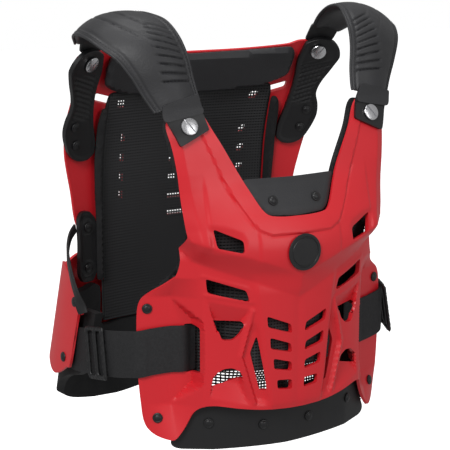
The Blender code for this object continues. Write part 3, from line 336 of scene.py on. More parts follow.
# Surfaces: each gives the depth y at x and z, and a stands for the distance from the symmetry plane
def ellipse(a):
    """The lower chest without its tabs."""
    return CHEST_MIDDLE + CHEST_DEEP * (1 - np.sqrt(np.maximum(CHEST_END, 1 - (a / CHEST_REACH) ** 2)))


def tab_plane(a):
    return TAB_DEPTH + TAB_SLOPE * (a - TAB_EDGE)


def lower_chest(a, z):
    y = ellipse(a)
    side = np.where(a < TAB_EDGE, WALL_DEPTH + WALL_SLOPE * (a - TAB_START), tab_plane(a))
    beside = ramp(-z, *BESIDE_TOP) * ramp(z, *BESIDE_FOOT)
    y = y + np.where(a > TAB_START, beside, 0) * (side - y)
    slant = TAB_SLANT * (TAB_EDGE - a) / (TAB_EDGE - TAB_START)
    within = np.minimum.reduce([a - TAB_START, TAB_EDGE - a, TAB_TOP - slant - z, z - TAB_FOOT - slant])
    return y + ramp(within, 0, TAB_BLEND) * np.maximum(0.0, tab_plane(a) - y)


def upper_chest(a, z):
    level = z / TALL
    depth, bend = curved(UPPER_CHEST, level, 1), curved(UPPER_CHEST, level, 2)
    return (depth + bend * (a / HUNDRED) ** 2) * HUNDRED


def chest_base(x, z):
    """The chest plate's outer face without its relief."""
    a = np.abs(x)
    upper, lower = upper_chest(a, z), lower_chest(a, z)
    edge = 106 + ramp(z, -58, -22) * 26
    raised = np.minimum(ramp(z, between(FOLD_LOW, a), between(FOLD_HIGH, a)), ramp(edge - a, 0, 9))
    folded = lower + (np.minimum(upper, lower) - lower) * raised
    return np.where(z >= NECK_LEVEL, upper, folded)


def breast(a, z):
    """The breast panel stands proud and rolls over at its outer edge."""
    panel_height = ramp(z, between(BREAST_LOW, a), between(BREAST_HIGH, a)) * ease(112 - a, 0, 8)
    brow = np.maximum(0, a - between(PANEL_EDGE, z)) * ease(z, -60, -40)
    return 3.4 * panel_height * ease(-z, 8, 48) - 0.42 * brow


def ladder(a, z):
    """The raised middle that carries the ladder of vents, with a shallow groove down it."""
    inner = ease(between(RIDGE, z) - a, -between(RIDGE_WIDTH, z), 0.6)
    groove = bell(np.minimum(a, 40), 5.0) * ease(-z, 96, 110)
    return 3.4 * inner * ease(-z, 70, 96) * ease(z, -222, -205) - 0.6 * groove


def neck_band(a, z):
    """A raised band round the neck, with a crease along its outer side."""
    above = ease(z - between(NECK_CREASE + NECK_CREASE_END, a), -1.5, 2.5)
    crease = bell(path_distance(a, z, NECK_CREASE), 1.5)
    return 1.5 * above * ease(z, -50, -30) - 0.9 * crease * (1 - above)


def breast_steps(a, z):
    """Shallow steps and a scoop on the breast."""
    outer_step = ease(a, 95.5, 98) * ramp(z, -36, -25) * ramp(-z, -30, -12)
    inner_step = ease(a, 47.3, 48.7) * ramp(z, -62, -56) * ramp(-z, 24, 32) * ramp(-a, -64, -50)
    zone = ease(z, -52, -36) * ramp(-z, 18, 26) * ease(a, 60, 70) * ramp(-a, -99, -95)
    scoop_line = -23 - (93.5 - a) * 0.45
    return -1.1 * outer_step - 0.8 * inner_step - 2.2 * zone * ramp(scoop_line - z, -8, 0)


def scoop(a, z, lines, run):
    """A hollow that deepens from its first line over a run, between its two side lines."""
    start, inner, outer = (line_side(a, z, *line) for line in lines)
    return SCOOP_DEEP * ramp(start, 0, run) * ramp(inner, 0, SCOOP_SIDE) * ramp(outer, 0, SCOOP_SIDE)


def side_ribs(a, z):
    """The rib beside the ladder of vents and the hollow between the two."""
    rib = np.clip(1.15 - path_distance(a, z, SIDE_RIB) / 3.4, 0, 1)
    hollow = ramp(a - between(RIDGE, z), 3, 6) * ramp(between(SIDE_RIB_EDGE, z) - a, 0, 3)
    return 2.0 * rib * ease(-z, 96, 112) - 3.0 * hollow * ease(-z, 122, 136) * ease(z, -214, -204)


def chest(x, z):
    """The chest plate's outer face with its moulded ridges and scoops."""
    a = np.abs(x)
    proud = breast(a, z) + ladder(a, z) + neck_band(a, z) + breast_steps(a, z) + side_ribs(a, z)
    proud -= scoop(a, z, UPPER_SCOOP, UPPER_SCOOP_RUN) * (z > UPPER_SCOOP_FOOT)
    proud -= scoop(a, z, LOWER_SCOOP, LOWER_SCOOP_RUN) * (z < LOWER_SCOOP_TOP)
    proud += 0.9 * bell(path_distance(a, z, VENT_LIP), 1.6)
    proud += 1.0 * ease(-z, 206, 214) * ramp(-a, -90, -80)
    return chest_base(x, z) - proud


def centre_bar(x, z):
    """How much deeper the bar between the ladder vents is than the plate's wall."""
    return 3.6 * np.exp(-(np.abs(x) / 9.5) ** 4) * ease(-z, 112, 122) * ease(z, -206, -198)


def flap_face(x, z):
    """The belly flap, the same at every level."""
    a = np.abs(x)
    knee = np.minimum(a, FLAP_KNEE)
    return FLAP_MIDDLE + FLAP_BEND * knee**2 + np.maximum(0.0, a - FLAP_KNEE) * FLAP_SLOPE


def liner_face(x, z):
    """The front of the liner, which keeps clear of the plate, its tabs and the flap."""
    a = np.abs(x)
    upper, lower = upper_chest(a, z), ellipse(a)
    base = upper + ramp(-z, -10, 55) * (np.maximum(upper, lower) - upper)
    depth = base + 4.9 * np.sqrt(1 + (0.008 * a) ** 2)
    bypass = curved(LINER_BYPASS, a / WIDE, 1) * HUNDRED
    beside = np.minimum(ramp(-z, 55, 88), ramp(z, *BESIDE_FOOT))
    depth = depth + np.where(a > 45, beside, 0) * (np.maximum(bypass, depth) - depth)
    return depth + ramp(-z, 174, 194) * np.maximum(0.0, flap_face(x, z) + 4.2 - depth)


def back(x, z):
    level = z / BACK_TALL
    return curved(BACK_SPINE, level, 1) * BACK_DEEP - curved(BACK_FLARE, level, 1) * x * x / 1000


def around(table, place, level):
    """A point of a wall round the waist: place counts rows from the middle, level 0 is the bottom edge."""
    rows = np.column_stack([np.arange(len(table)), np.array(table)])
    across, depth, top, bottom = (curved(rows, np.abs(place), column) for column in (1, 2, 3, 4))
    z = (bottom + (top - bottom) * level) * BACK_TALL
    spread = 1 + WAIST_SPREAD * (WAIST_LEVEL - z) / 1000 * across**2
    lean = WAIST_LEAN * (WAIST_LEVEL - z) * ramp(across, 0.5, 0.9)
    return np.stack([np.sign(place) * across * WAIST_HALF * spread, depth * BACK_DEEP + lean, z], -1)


# Outlines
def scaled(rows, size):
    return [(across * size[0], up * size[1]) for across, up in rows]


def smoothed(points, parts=12):
    """A closed polygon with curved sides, straight beside its sharp corners."""
    count = len(points)
    dense = []
    for i in range(count):
        before, start, end, after = (points[(i + k) % count] for k in (-1, 0, 1, 2))
        side = end - start
        length = np.linalg.norm(side)
        runs = []
        for low, high in ((start - before, side), (side, after - end)):
            turn = np.dot(low, high) / (np.linalg.norm(low) * np.linalg.norm(high) + 1e-9)
            chord = low + high
            runs.append(chord / (np.linalg.norm(chord) + 1e-9) * length if turn > 0.75 else side)
        dense += [hermite(start, end, *runs, t) for t in np.linspace(0, 1, parts, endpoint=False)]
    return np.array(dense)


def loop(polygon, step, rounds, curve=False):
    """A closed polygon resampled evenly, its corners rounded by averaging."""
    points = np.array(polygon, float)
    if curve:
        points = smoothed(points)
    closed = np.vstack([points, points[:1]])
    run = path_run(closed)
    count = max(8, int(round(run[-1] / step)))
    at = np.linspace(0, run[-1], count, endpoint=False)
    even = np.stack([np.interp(at, run, closed[:, k]) for k in (0, 1)], -1)
    for _ in range(rounds):
        even = 0.5 * even + 0.25 * (np.roll(even, 1, 0) + np.roll(even, -1, 0))
    return even


def both_halves(half):
    return half + [(-across, up) for across, up in reversed(half) if across > 1e-6]


def outline(rows, size, step, rounds, curve=False):
    """A whole outline from its right half."""
    return loop(both_halves(scaled(rows, size)), step, rounds, curve)


def on_side(rows, size, side, step, rounds, curve=False):
    """The outline of a piece of the right side, side 1, or its mirror image, side -1."""
    shape = loop(scaled(rows, size), step, rounds, curve)
    return shape if side > 0 else mirror(shape)


def mirror(shape):
    return (shape * (-1, 1))[::-1]


def vents(rows, size, step, rounds):
    """Openings from rows of corners, and then their mirror images."""
    right = [loop(scaled(zip(row[::2], row[1::2]), size), step, rounds) for row in rows]
    return right + [mirror(one) for one in right]


def box(low_x, high_x, low_z, high_z):
    return [(low_x, low_z), (high_x, low_z), (high_x, high_z), (low_x, high_z)]


def side_vent(level, end, near_rise, far_rise):
    """Corners of a slanted vent of the back plate up to its end."""
    return (SIDE_VENT_START, level, end, level + near_rise, end, level + far_rise,
            SIDE_VENT_START, level + SIDE_VENT_TALL)


def middle_vents(height, step, rounds):
    half = MIDDLE_VENT_HALF * BACK_WIDE
    levels = [level * BACK_TALL for level in MIDDLE_VENT_LEVELS]
    return [loop(box(-half, half, level, level + height), step, rounds) for level in levels]


def inside(points, polygon):
    """Which points lie inside a polygon."""
    x, z = points[:, 0], points[:, 1]
    hit = np.zeros(len(points), bool)
    for (x0, z0), (x1, z1) in zip(polygon, np.roll(polygon, -1, 0)):
        crosses = (z0 > z) != (z1 > z)
        with np.errstate(divide="ignore", invalid="ignore"):
            hit ^= crosses & (x < (x1 - x0) * (z - z0) / (z1 - z0 + 1e-12) + x0)
    return hit


def rim_distance(points, loops, portion=4000):
    """Distance of points from the nearest point of the loops, a portion of them at a time."""
    rims = np.vstack(loops)
    best = np.empty(len(points))
    for start in range(0, len(points), portion):
        gap = points[start:start + portion, None, :] - rims[None, :, :]
        best[start:start + portion] = np.sqrt((gap**2).sum(-1)).min(1)
    return best


def in_net(points, loops):
    """Which points lie inside the first loop and outside the others."""
    keep = inside(points, loops[0])
    for hole in loops[1:]:
        keep &= ~inside(points, hole)
    return keep


def only_used(points, faces):
    """Points and faces without the points that no face uses."""
    used = np.unique(faces)
    place = np.full(len(points), -1)
    place[used] = np.arange(len(used))
    return points[used], place[faces]


def flat_net(rim, holes, pitch):
    """A net of triangles inside a rim with holes, and its loops."""
    loops = [np.asarray(rim)] + [np.asarray(hole) for hole in holes]
    low, high = loops[0].min(0), loops[0].max(0)
    rows = []
    for i, z in enumerate(np.arange(low[1] + pitch / 2, high[1], pitch * 0.87)):
        xs = np.arange(low[0] + (pitch / 2 if i % 2 else pitch), high[0], pitch)
        rows.append(np.stack([xs, np.full(len(xs), z)], -1))
    grid = np.vstack(rows)
    grid = grid[in_net(grid, loops)]
    grid = grid[rim_distance(grid, loops) > pitch * 0.55]
    points = np.vstack(loops + [grid])
    edges = []
    start = 0
    for one in loops:
        edges += [(start + i, start + (i + 1) % len(one)) for i in range(len(one))]
        start += len(one)
    net = delaunay_2d_cdt([Vector(point) for point in points], edges, [], 0, 1e-5)
    flat = np.array([tuple(point) for point in net[0]])
    faces = np.array([tuple(face) for face in net[2]])
    flat, faces = only_used(flat, faces[in_net(flat[faces].mean(1), loops)])
    return flat, faces, loops


# Mesh makers
made_pieces = []


def world(points):
    return (np.asarray(points, float) + SHIFT) / PER_METRE


def mesh(name, points, faces, finish, replaced, sharp=38.0):
    """An object from points in the collar frame, which stands for the CAD nodes named."""
    data = bpy.data.meshes.new(name)
    data.from_pydata([tuple(p) for p in world(points)], [], [tuple(int(i) for i in f) for f in faces])
    data.validate()
    bm = bmesh.new()
    bm.from_mesh(data)
    bmesh.ops.recalc_face_normals(bm, faces=bm.faces[:])
    bm.to_mesh(data)
    bm.free()
    data.shade_smooth()
    data.set_sharp_from_angle(angle=math.radians(sharp))
    made = bpy.data.objects.new(name, data)
    bpy.context.scene.collection.objects.link(made)
    data.materials.append(finish)
    if replaced:
        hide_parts(*replaced)
    made_pieces.append(made)
    return made


def bevelled(made, width, segments):
    """Round an object's sharp edges."""
    bevel = made.modifiers.new("edge", "BEVEL")
    bevel.width = width / PER_METRE
    bevel.segments = segments
    bevel.limit_method = "ANGLE"
    bevel.angle_limit = math.radians(60)


def normals(surface, x, z, reach=0.5):
    """Unit normals of a surface, towards the front."""
    slope_x = (surface(x + reach, z) - surface(x - reach, z)) / (2 * reach)
    slope_z = (surface(x, z + reach) - surface(x, z - reach)) / (2 * reach)
    return unit(np.stack([slope_x, -np.ones_like(slope_x), slope_z], -1))


def facing(surface, x, z, lift):
    """A point on a surface lifted along its front normal, and that normal."""
    xs, zs = np.array([float(x)]), np.array([float(z)])
    normal = normals(surface, xs, zs)[0]
    return np.array([xs[0], surface(xs, zs)[0], zs[0]]) + normal * lift, normal


def swelling(distance, radius):
    """0 at a rim, rising along a quarter circle to 1 at a distance of the radius."""
    return np.sqrt(np.clip(1 - (1 - np.minimum(distance / radius, 1)) ** 2, 0, 1))


def wall_faces(faces, count):
    """Faces of a wall, whose back has the same points as its front, from those of the front."""
    front = [tuple(face) for face in faces]
    edges = {(face[i], face[(i + 1) % 3]): True for face in front for i in range(3)}
    rims = [edge for edge in edges if edge[::-1] not in edges]
    behind = [(a + count, c + count, b + count) for a, b, c in front]
    return front + behind + [(b, a, a + count, b + count) for a, b in rims]


def panel(name, surface, rim, holes, finish, replaced, pitch, front, wall, edge=0.0, round_front=0.0,
          thick_rim=0.0, shape=None, back_shape=None, sharp=38.0):
    """A wall over a surface: its face lies front before the surface, and it is wall thick behind that."""
    flat, faces, loops = flat_net(rim, holes, pitch)
    x, z = flat[:, 0], flat[:, 1]
    normal = normals(surface, x, z)
    base = np.stack([x, surface(x, z), z], -1)
    far = rim_distance(flat, loops)
    lift = np.full(len(x), float(front))
    deep = np.full(len(x), float(front - wall))
    if shape is not None:
        lift += shape(x, z, far)
    if round_front:
        middle = front - wall / 2
        full = 0.12 + 0.88 * swelling(far, round_front)
        lift = middle + (lift - middle) * full
        deep = middle - wall / 2 * full
    if thick_rim:
        deep = deep - thick_rim * bell(rim_distance(flat, loops[1:]), 2.2)
    if back_shape is not None:
        deep = deep - back_shape(x, z)
    points = np.vstack([base + normal * lift[:, None], base + normal * deep[:, None]])
    made = mesh(name, points, wall_faces(faces, len(x)), finish, replaced, sharp)
    if edge:
        bevelled(made, edge, 2)
    return made


def ring_faces(rings, size):
    """Faces of a skin over a run of rings of points, with a face over each end."""
    faces = [tuple(range(size)), tuple(range((rings - 1) * size, rings * size))]
    for i in range(rings - 1):
        for k in range(size):
            m = (k + 1) % size
            faces.append((i * size + k, i * size + m, (i + 1) * size + m, (i + 1) * size + k))
    return faces


def tube(name, path, radius, finish, replaced, sides=10):
    """A round cord along a path of points."""
    ahead = unit(np.gradient(path, axis=0))
    flat = np.cross(ahead, [0.0, 0.0, 1.0])
    upright = np.linalg.norm(flat, axis=1) < 0.15
    flat[upright] = np.cross(ahead[upright], [0.0, 1.0, 0.0])
    for i in range(1, len(path)):
        if np.dot(flat[i], flat[i - 1]) < 0:
            flat[i] = -flat[i]
    flat = unit(flat)
    rise = np.cross(flat, ahead)
    angles = np.linspace(0, 2 * math.pi, sides, endpoint=False)[None, :, None]
    ring = np.cos(angles) * flat[:, None, :] + np.sin(angles) * rise[:, None, :]
    points = (path[:, None, :] + radius * ring).reshape(-1, 3)
    return mesh(name, points, ring_faces(len(path), sides), finish, replaced)


def spline(points, step):
    """A smooth open curve through points, resampled evenly."""
    run = path_run(points)
    rows = np.column_stack([run, points])
    at = np.linspace(0, run[-1], max(3, int(round(run[-1] / step)) + 1))
    return np.stack([curved(rows, at, column) for column in (1, 2, 3)], -1)


def band(name, path, finish, replaced, width, thick, rib, step):
    """A flat strap along a path, thin at its edges, with a cross rib at every second step."""
    path = spline(path, step)
    ahead = unit(np.gradient(path, axis=0))
    out = np.stack([ahead[:, 1], -ahead[:, 0], np.zeros(len(path))], -1)
    away = np.sign(out[:, 0] * path[:, 0] + out[:, 1] * (path[:, 1] - TORSO_MIDDLE))
    out = unit(out * away[:, None])
    rise = unit(np.cross(ahead, out))
    across = np.linspace(-1, 1, 9)
    rim = np.abs(across) == 1
    raised = np.where(np.arange(len(path)) % 2 == 0, rib, 0.0)
    half = np.where(rim, thick / 4, thick / 2 + raised[:, None])[:, :, None]
    middle = path[:, None] + rise[:, None] * (across * width / 2)[None, :, None]
    points = np.concatenate([middle + out[:, None] * half, (middle - out[:, None] * half)[:, ::-1]], axis=1)
    faces = ring_faces(len(path), 2 * len(across))
    return mesh(name, points.reshape(-1, 3), faces, finish, replaced, 50)


def spun(name, at, normal, profile, finish, replaced, sides, turn=0.0):
    """A round head from a profile of radius and height, its foot at a point. Returns it and its axes."""
    angles = [2 * math.pi * k / sides for k in range(sides)]
    points = [(radius * math.cos(angle), radius * math.sin(angle), height)
              for radius, height in profile for angle in angles]
    axes = np.array(Vector(normal).to_track_quat("Z", "Y").to_matrix() @ Matrix.Rotation(turn, 3, "Z"))
    points = np.array(points) @ axes.T + np.asarray(at)
    return mesh(name, points, ring_faces(len(profile), sides), finish, replaced, 30), axes


def bake(made):
    """Replace an object's mesh by what its modifiers make of it."""
    graph = bpy.context.evaluated_depsgraph_get()
    graph.update()
    done = bpy.data.meshes.new_from_object(made.evaluated_get(graph))
    old = made.data
    made.modifiers.clear()
    made.data = done
    bpy.data.meshes.remove(old)


def cut_slot(made, at, axes):
    """Cut the driver's slot into a screw head."""
    corners = np.array([(x * SCREW_SLOT_WIDE / 2, y * SCREW_SLOT_HALF, z) for x in (-1, 1) for y in (-1, 1)
                        for z in (SCREW_SLOT_FLOOR, SCREW_SLOT_TOP)])
    faces = [(0, 1, 3, 2), (4, 6, 7, 5), (0, 4, 5, 1), (2, 3, 7, 6), (0, 2, 6, 4), (1, 5, 7, 3)]
    data = bpy.data.meshes.new(made.name + "_slot")
    data.from_pydata([tuple(p) for p in world(corners @ axes.T + np.asarray(at))], [], faces)
    cutter = bpy.data.objects.new(made.name + "_slot", data)
    bpy.context.scene.collection.objects.link(cutter)
    boolean = made.modifiers.new("slot", "BOOLEAN")
    boolean.object = cutter
    boolean.solver = "EXACT"
    bake(made)
    bpy.data.objects.remove(cutter, do_unlink=True)


def stitches(name, runs, finish, pitch=3.6, length=2.3, thick=0.45):
    """Rows of stitches: each run is a path of points with the outward normal at each."""
    points, faces = [], []
    for path, out in runs:
        run = path_run(path)
        for at in np.arange(pitch / 2, run[-1], pitch):
            here = along_path(path, run, at)
            ahead = unit(along_path(path, run, min(at + 0.5, run[-1])) - here)
            outward = unit(along_path(out, run, at))
            side = np.cross(ahead, outward)
            base = len(points)
            points += [here - ahead * length / 2, here + outward * thick, here + side * thick,
                       here - outward * thick * 0.3, here - side * thick, here + ahead * length / 2]
            for k in range(4):
                m = (k + 1) % 4
                faces.append((base, base + 1 + k, base + 1 + m))
                faces.append((base + 5, base + 1 + m, base + 1 + k))
    return mesh(name, points, faces, finish, (), 180)


def net_strands(name, surface, rim, front, finish, replaced):
    """A woven net: crossing ribbons over a surface inside a rim."""
    low, high = rim.min(0), rim.max(0)
    points, faces = [], []
    for direction in (0, 1):
        other = 1 - direction
        for lane in np.arange(low[direction] + NET_PITCH / 2, high[direction], NET_PITCH):
            along = np.arange(low[other], high[other] + NET_PITCH, NET_PITCH)
            flat = np.zeros((len(along), 2))
            flat[:, direction] = lane
            flat[:, other] = along
            shown = inside(flat, rim)
            x, z = flat[:, 0], flat[:, 1]
            lift = front + (STRAND_LIFT if direction else -STRAND_LIFT)
            centre = np.stack([x, surface(x, z), z], -1) + normals(surface, x, z) * lift
            half = np.zeros(3)
            half[2 * direction] = STRAND_WIDE / 2
            start = len(points)
            points += list(np.stack([centre - half, centre + half], 1).reshape(-1, 3))
            starts = [start + 2 * i for i in range(len(along) - 1) if shown[i] and shown[i + 1]]
            faces += [(a, a + 1, a + 3, a + 2) for a in starts]
    points, faces = only_used(np.array(points), np.array(faces))
    return mesh(name, points, faces, finish, replaced, 180)


def waist_wall(name, table, finish, replaced, thick, edge, levels=12):
    """A wall swept round the waist from a section table. It grows outward, or inward with thick below 0."""
    last = len(table) - 1
    half = np.linspace(0, last, last * 4 + 1)
    places = np.concatenate([-half[::-1], half[1:]])
    places[np.abs(places) < 1e-9] = 1e-9
    shares = np.linspace(0, 1, levels + 1)
    grid = np.array([[around(table, place, share) for share in shares] for place in places])
    out = np.cross(np.gradient(grid, axis=0), np.gradient(grid, axis=1))
    out = unit(out)
    away = np.sign(out[:, :, 0] * grid[:, :, 0] + out[:, :, 1] * (grid[:, :, 1] - TORSO_MIDDLE))
    other = grid + out * away[:, :, None] * thick
    wide, high = grid.shape[:2]
    count = wide * high
    numbers = np.arange(count).reshape(wide, high)
    faces = []
    for i in range(wide - 1):
        for j in range(high - 1):
            a, b, c, d = numbers[i, j], numbers[i + 1, j], numbers[i + 1, j + 1], numbers[i, j + 1]
            faces += [(a, b, c, d), (a + count, d + count, c + count, b + count)]
    for line in (numbers[:, 0], numbers[:, -1], numbers[0], numbers[-1]):
        faces += [(a, b, b + count, a + count) for a, b in zip(line, line[1:])]
    points = np.vstack([grid.reshape(-1, 3), other.reshape(-1, 3)])
    made = mesh(name, points, faces, finish, replaced, 45)
    bevelled(made, edge, 3)
    return made


# Materials
MIX_FACTOR, MIX_FIRST, MIX_SECOND, MIX_RESULT = 0, 6, 7, 2


class Wire:
    """A socket of a node tree, with arithmetic."""

    def __init__(self, tree, socket):
        self.tree = tree
        self.socket = socket

    def math(self, operation, first, second):
        return add_node(self.tree, "ShaderNodeMath", 0, {"operation": operation}, {0: first, 1: second})

    def __add__(self, other):
        return self.math("ADD", self, other)

    def __radd__(self, other):
        return self.math("ADD", other, self)

    def __mul__(self, other):
        return self.math("MULTIPLY", self, other)

    def __rmul__(self, other):
        return self.math("MULTIPLY", other, self)


def put(tree, socket, value):
    """Give a socket a link or a value."""
    if isinstance(value, Wire):
        tree.links.new(value.socket, socket)
    else:
        socket.default_value = value


def add_node(tree, kind, output, settings, sockets):
    """A node with its settings, and then the values or links of its sockets. Returns one of its outputs."""
    node = tree.nodes.new(kind)
    for name, value in settings.items():
        setattr(node, name, value)
    for name, value in sockets.items():
        put(tree, node.inputs[name], value)
    return Wire(tree, node.outputs[output])


class Finish:
    """A material being built."""

    def __init__(self, name, colour, roughness, metallic=0.0):
        self.material = bpy.data.materials.new(name)
        self.material.use_nodes = True
        self.tree = self.material.node_tree
        self.shader = self.tree.nodes["Principled BSDF"]
        self.give("Base Color", (*colour, 1))
        self.give("Roughness", roughness)
        self.give("Metallic", metallic)

    def give(self, name, value):
        put(self.tree, self.shader.inputs[name], value)

    def node(self, kind, output, settings, sockets):
        return add_node(self.tree, kind, output, settings, sockets)

    def where(self):
        return self.node("ShaderNodeTexCoord", "Object", {}, {})

    def noise(self, scale, detail=3.0, rough=0.5):
        sockets = {"Vector": self.where(), "Scale": scale, "Detail": detail, "Roughness": rough}
        return self.node("ShaderNodeTexNoise", "Fac", {}, sockets)

    def cells(self, scale, randomness):
        """Distance from the middle of each cell of a grain or a weave."""
        sockets = {"Vector": self.where(), "Scale": scale, "Randomness": randomness}
        return self.node("ShaderNodeTexVoronoi", "Distance", {}, sockets)

    def tint(self, factor, dark, light):
        """The base colour runs between two colours by a factor."""
        sockets = {MIX_FACTOR: factor, MIX_FIRST: (*dark, 1), MIX_SECOND: (*light, 1)}
        self.give("Base Color", self.node("ShaderNodeMix", MIX_RESULT, {"data_type": "RGBA"}, sockets))

    def bump(self, height, strength, distance):
        sockets = {"Strength": strength, "Distance": distance, "Height": height}
        self.give("Normal", self.node("ShaderNodeBump", "Normal", {}, sockets))


def red_plastic():
    f = Finish("red_moulded_plastic", (0.72, 0.016, 0.026), 0.36)
    f.tint(f.noise(9.0, 4.0), (0.684, 0.0152, 0.0247), (0.76, 0.020, 0.030))
    f.give("Roughness", 0.30 + 0.14 * f.noise(55.0, 5.0, 0.6))
    f.bump(f.noise(900.0, 2.0) * 0.6 + f.noise(120.0, 2.0), 0.10, 0.0004)
    return f.material


def black_plastic():
    f = Finish("black_moulded_plastic", (0.008, 0.008, 0.009), 0.40)
    f.tint(f.noise(30.0), (0.006, 0.006, 0.007), (0.012, 0.012, 0.013))
    f.give("Roughness", 0.36 + 0.16 * f.noise(80.0, 4.0))
    f.bump(f.noise(1500.0, 2.0), 0.16, 0.0003)
    return f.material


def cover():
    f = Finish("grained_cover", (0.024, 0.024, 0.027), 0.46)
    grain = f.cells(620.0, 1.0)
    f.tint(f.noise(22.0, 5.0), (0.018, 0.018, 0.020), (0.032, 0.032, 0.035))
    f.give("Roughness", 0.42 + 0.18 * f.noise(140.0, 4.0))
    f.bump(grain * 0.8 + f.noise(260.0, 4.0) * 0.6, 0.28, 0.0005)
    return f.material


def padding():
    f = Finish("black_padding_cover", (0.006, 0.006, 0.007), 0.75)
    f.tint(f.noise(40.0, 4.0), (0.004, 0.004, 0.005), (0.010, 0.010, 0.011))
    f.give("Roughness", 0.66 + 0.2 * f.noise(90.0))
    f.bump(f.cells(900.0, 0.25), 0.35, 0.0005)
    return f.material


def net_finish():
    f = Finish("black_net_yarn", (0.030, 0.030, 0.032), 0.7)
    f.tint(f.noise(400.0), (0.022, 0.022, 0.024), (0.040, 0.040, 0.042))
    f.bump(f.noise(2500.0, 2.0), 0.3, 0.0002)
    return f.material


def rubber():
    f = Finish("matt_black_rubber", (0.009, 0.009, 0.010), 0.50)
    f.tint(f.noise(18.0, 4.0), (0.007, 0.007, 0.008), (0.013, 0.013, 0.014))
    f.give("Roughness", 0.48 + 0.16 * f.noise(60.0, 5.0))
    f.bump(f.noise(1100.0, 3.0), 0.14, 0.0004)
    return f.material


def webbing():
    f = Finish("ribbed_black_webbing", (0.014, 0.014, 0.015), 0.7)
    f.tint(f.noise(300.0, 3.0), (0.007, 0.007, 0.008), (0.022, 0.022, 0.024))
    f.give("Roughness", 0.6 + 0.25 * f.noise(500.0))
    f.bump(f.cells(1300.0, 0.6), 0.5, 0.0004)
    return f.material


def steel():
    f = Finish("turned_steel", (0.72, 0.72, 0.74), 0.24, metallic=1.0)
    f.tint(f.noise(300.0), (0.62, 0.62, 0.64), (0.80, 0.80, 0.82))
    f.give("Roughness", 0.2 + 0.16 * f.noise(700.0, 4.0))
    f.bump(f.noise(1800.0, 2.0), 0.12, 0.0002)
    return f.material


def thread():
    f = Finish("black_thread", (0.03, 0.03, 0.033), 0.6)
    f.tint(f.noise(900.0), (0.02, 0.02, 0.022), (0.05, 0.05, 0.054))
    f.bump(f.noise(4000.0), 0.4, 0.0002)
    return f.material


def pale_floor():
    f = Finish("pale_floor", (0.95, 0.95, 0.95), 0.6)
    f.tint(f.noise(3.0), (0.93, 0.93, 0.93), (0.97, 0.97, 0.97))
    f.give("Emission Color", (1, 1, 1, 1))
    f.give("Emission Strength", 0.8)
    return f.material


RED = red_plastic()
BLACK = black_plastic()
COVER = cover()
PADDING = padding()
NET = net_finish()
RUBBER = rubber()
WEBBING = webbing()
STEEL = steel()
THREAD = thread()

# Right and left: tag, and the sign of x
SIDES = (("r", 1), ("l", -1))


# Front
def liner_outline():
    """The plate's outline, drawn in beside its raised shoulders."""
    rows = []
    for x, z in scaled(PLATE_OUTLINE, CHEST_SIZE):
        drawn_in = 5 * float(ramp(-z, -30, 0)) * float(ramp(x, 96, 118))
        rows.append((x - drawn_in, z))
    return loop(both_halves(rows), 2.4, 4, True)


def front_pieces():
    plate_rim = outline(PLATE_OUTLINE, CHEST_SIZE, 2.0, 3, True)
    plate_vents = vents(PLATE_VENTS, CHEST_SIZE, 1.3, 4)
    panel("front_plate_moulded", chest, plate_rim, plate_vents, RED, ("front_plate",),
          pitch=PLATE_PITCH, front=0, wall=WALL, edge=0.6, thick_rim=1.6, back_shape=centre_bar, sharp=34)
    liner_rim = liner_outline()
    windows = vents(LINER_WINDOWS, CHEST_SIZE, 2.5, 3)
    panel("front_liner_padding", liner_face, liner_rim, windows, PADDING, ("front_liner",),
                      pitch=5, front=-1.9, wall=6.5, round_front=5.0)
    net_strands("front_net_woven", liner_face, liner_rim, -0.5, NET, ("front_net",))
    collar_rim = outline(COLLAR_OUTLINE, CHEST_SIZE, 1.6, 4)
    panel("collar_insert_cover", chest_base, collar_rim, (), COVER, ("collar_insert",),
                      pitch=4, front=-0.4, wall=3.6, round_front=2.6)
    flap_rim = outline(FLAP_OUTLINE, CHEST_SIZE, 2.0, 3)
    panel("belly_flap_rubber", flap_face, flap_rim, (), RUBBER, ("belly_flap",),
          pitch=4, front=0, wall=WALL, edge=0.8)


# Back
def back_pieces():
    back_rim = outline(BACK_OUTLINE, BACK_SIZE, 2.2, 3, True)
    slanted = [side_vent(level, 0.550, 0.020, 0.042) for level in SIDE_VENT_LEVELS]
    holes = vents([STRAP_SLOT] + slanted, BACK_SIZE, 1.4, 3) + middle_vents(MIDDLE_VENT_TALL, 1.4, 3)
    panel("upper_back_plate_moulded", back, back_rim, holes, RED, ("upper_back_plate",),
          pitch=5, front=0, wall=WALL, edge=0.6, thick_rim=4.0)
    waist_wall("lower_back_plate_moulded", WING_SECTION, RED, ("lower_back_plate",),
               thick=WALL, edge=0.8)
    waist_wall("back_waist_padding", WAIST_PAD_SECTION, PADDING, ("back_waist_pad",),
                           thick=-9, edge=3.0)
    slanted = [side_vent(level, 0.500, 0.008, 0.032) for level in SIDE_VENT_LEVELS]
    openings = vents(slanted + [BACKING_SLOT], BACK_SIZE, 1.8, 2) + middle_vents(BACKING_VENT_TALL, 1.8, 2)
    panel("back_net_backing", back, outline(BACKING_OUTLINE, BACK_SIZE, 3, 2), openings, PADDING, (),
          pitch=7, front=0.45, wall=0.3)
    net_rim = outline(NET_OUTLINE, BACK_SIZE, 3, 2)
    net_strands("back_net_woven", back, net_rim, 1.0, NET, ("back_net",))
    top_rim = outline(TOP_PAD_OUTLINE, BACK_SIZE, 2.4, 4)
    panel("back_top_padding", back, top_rim, (), COVER, ("back_top_pad",),
                      pitch=4, front=12.9, wall=12, round_front=6.0)


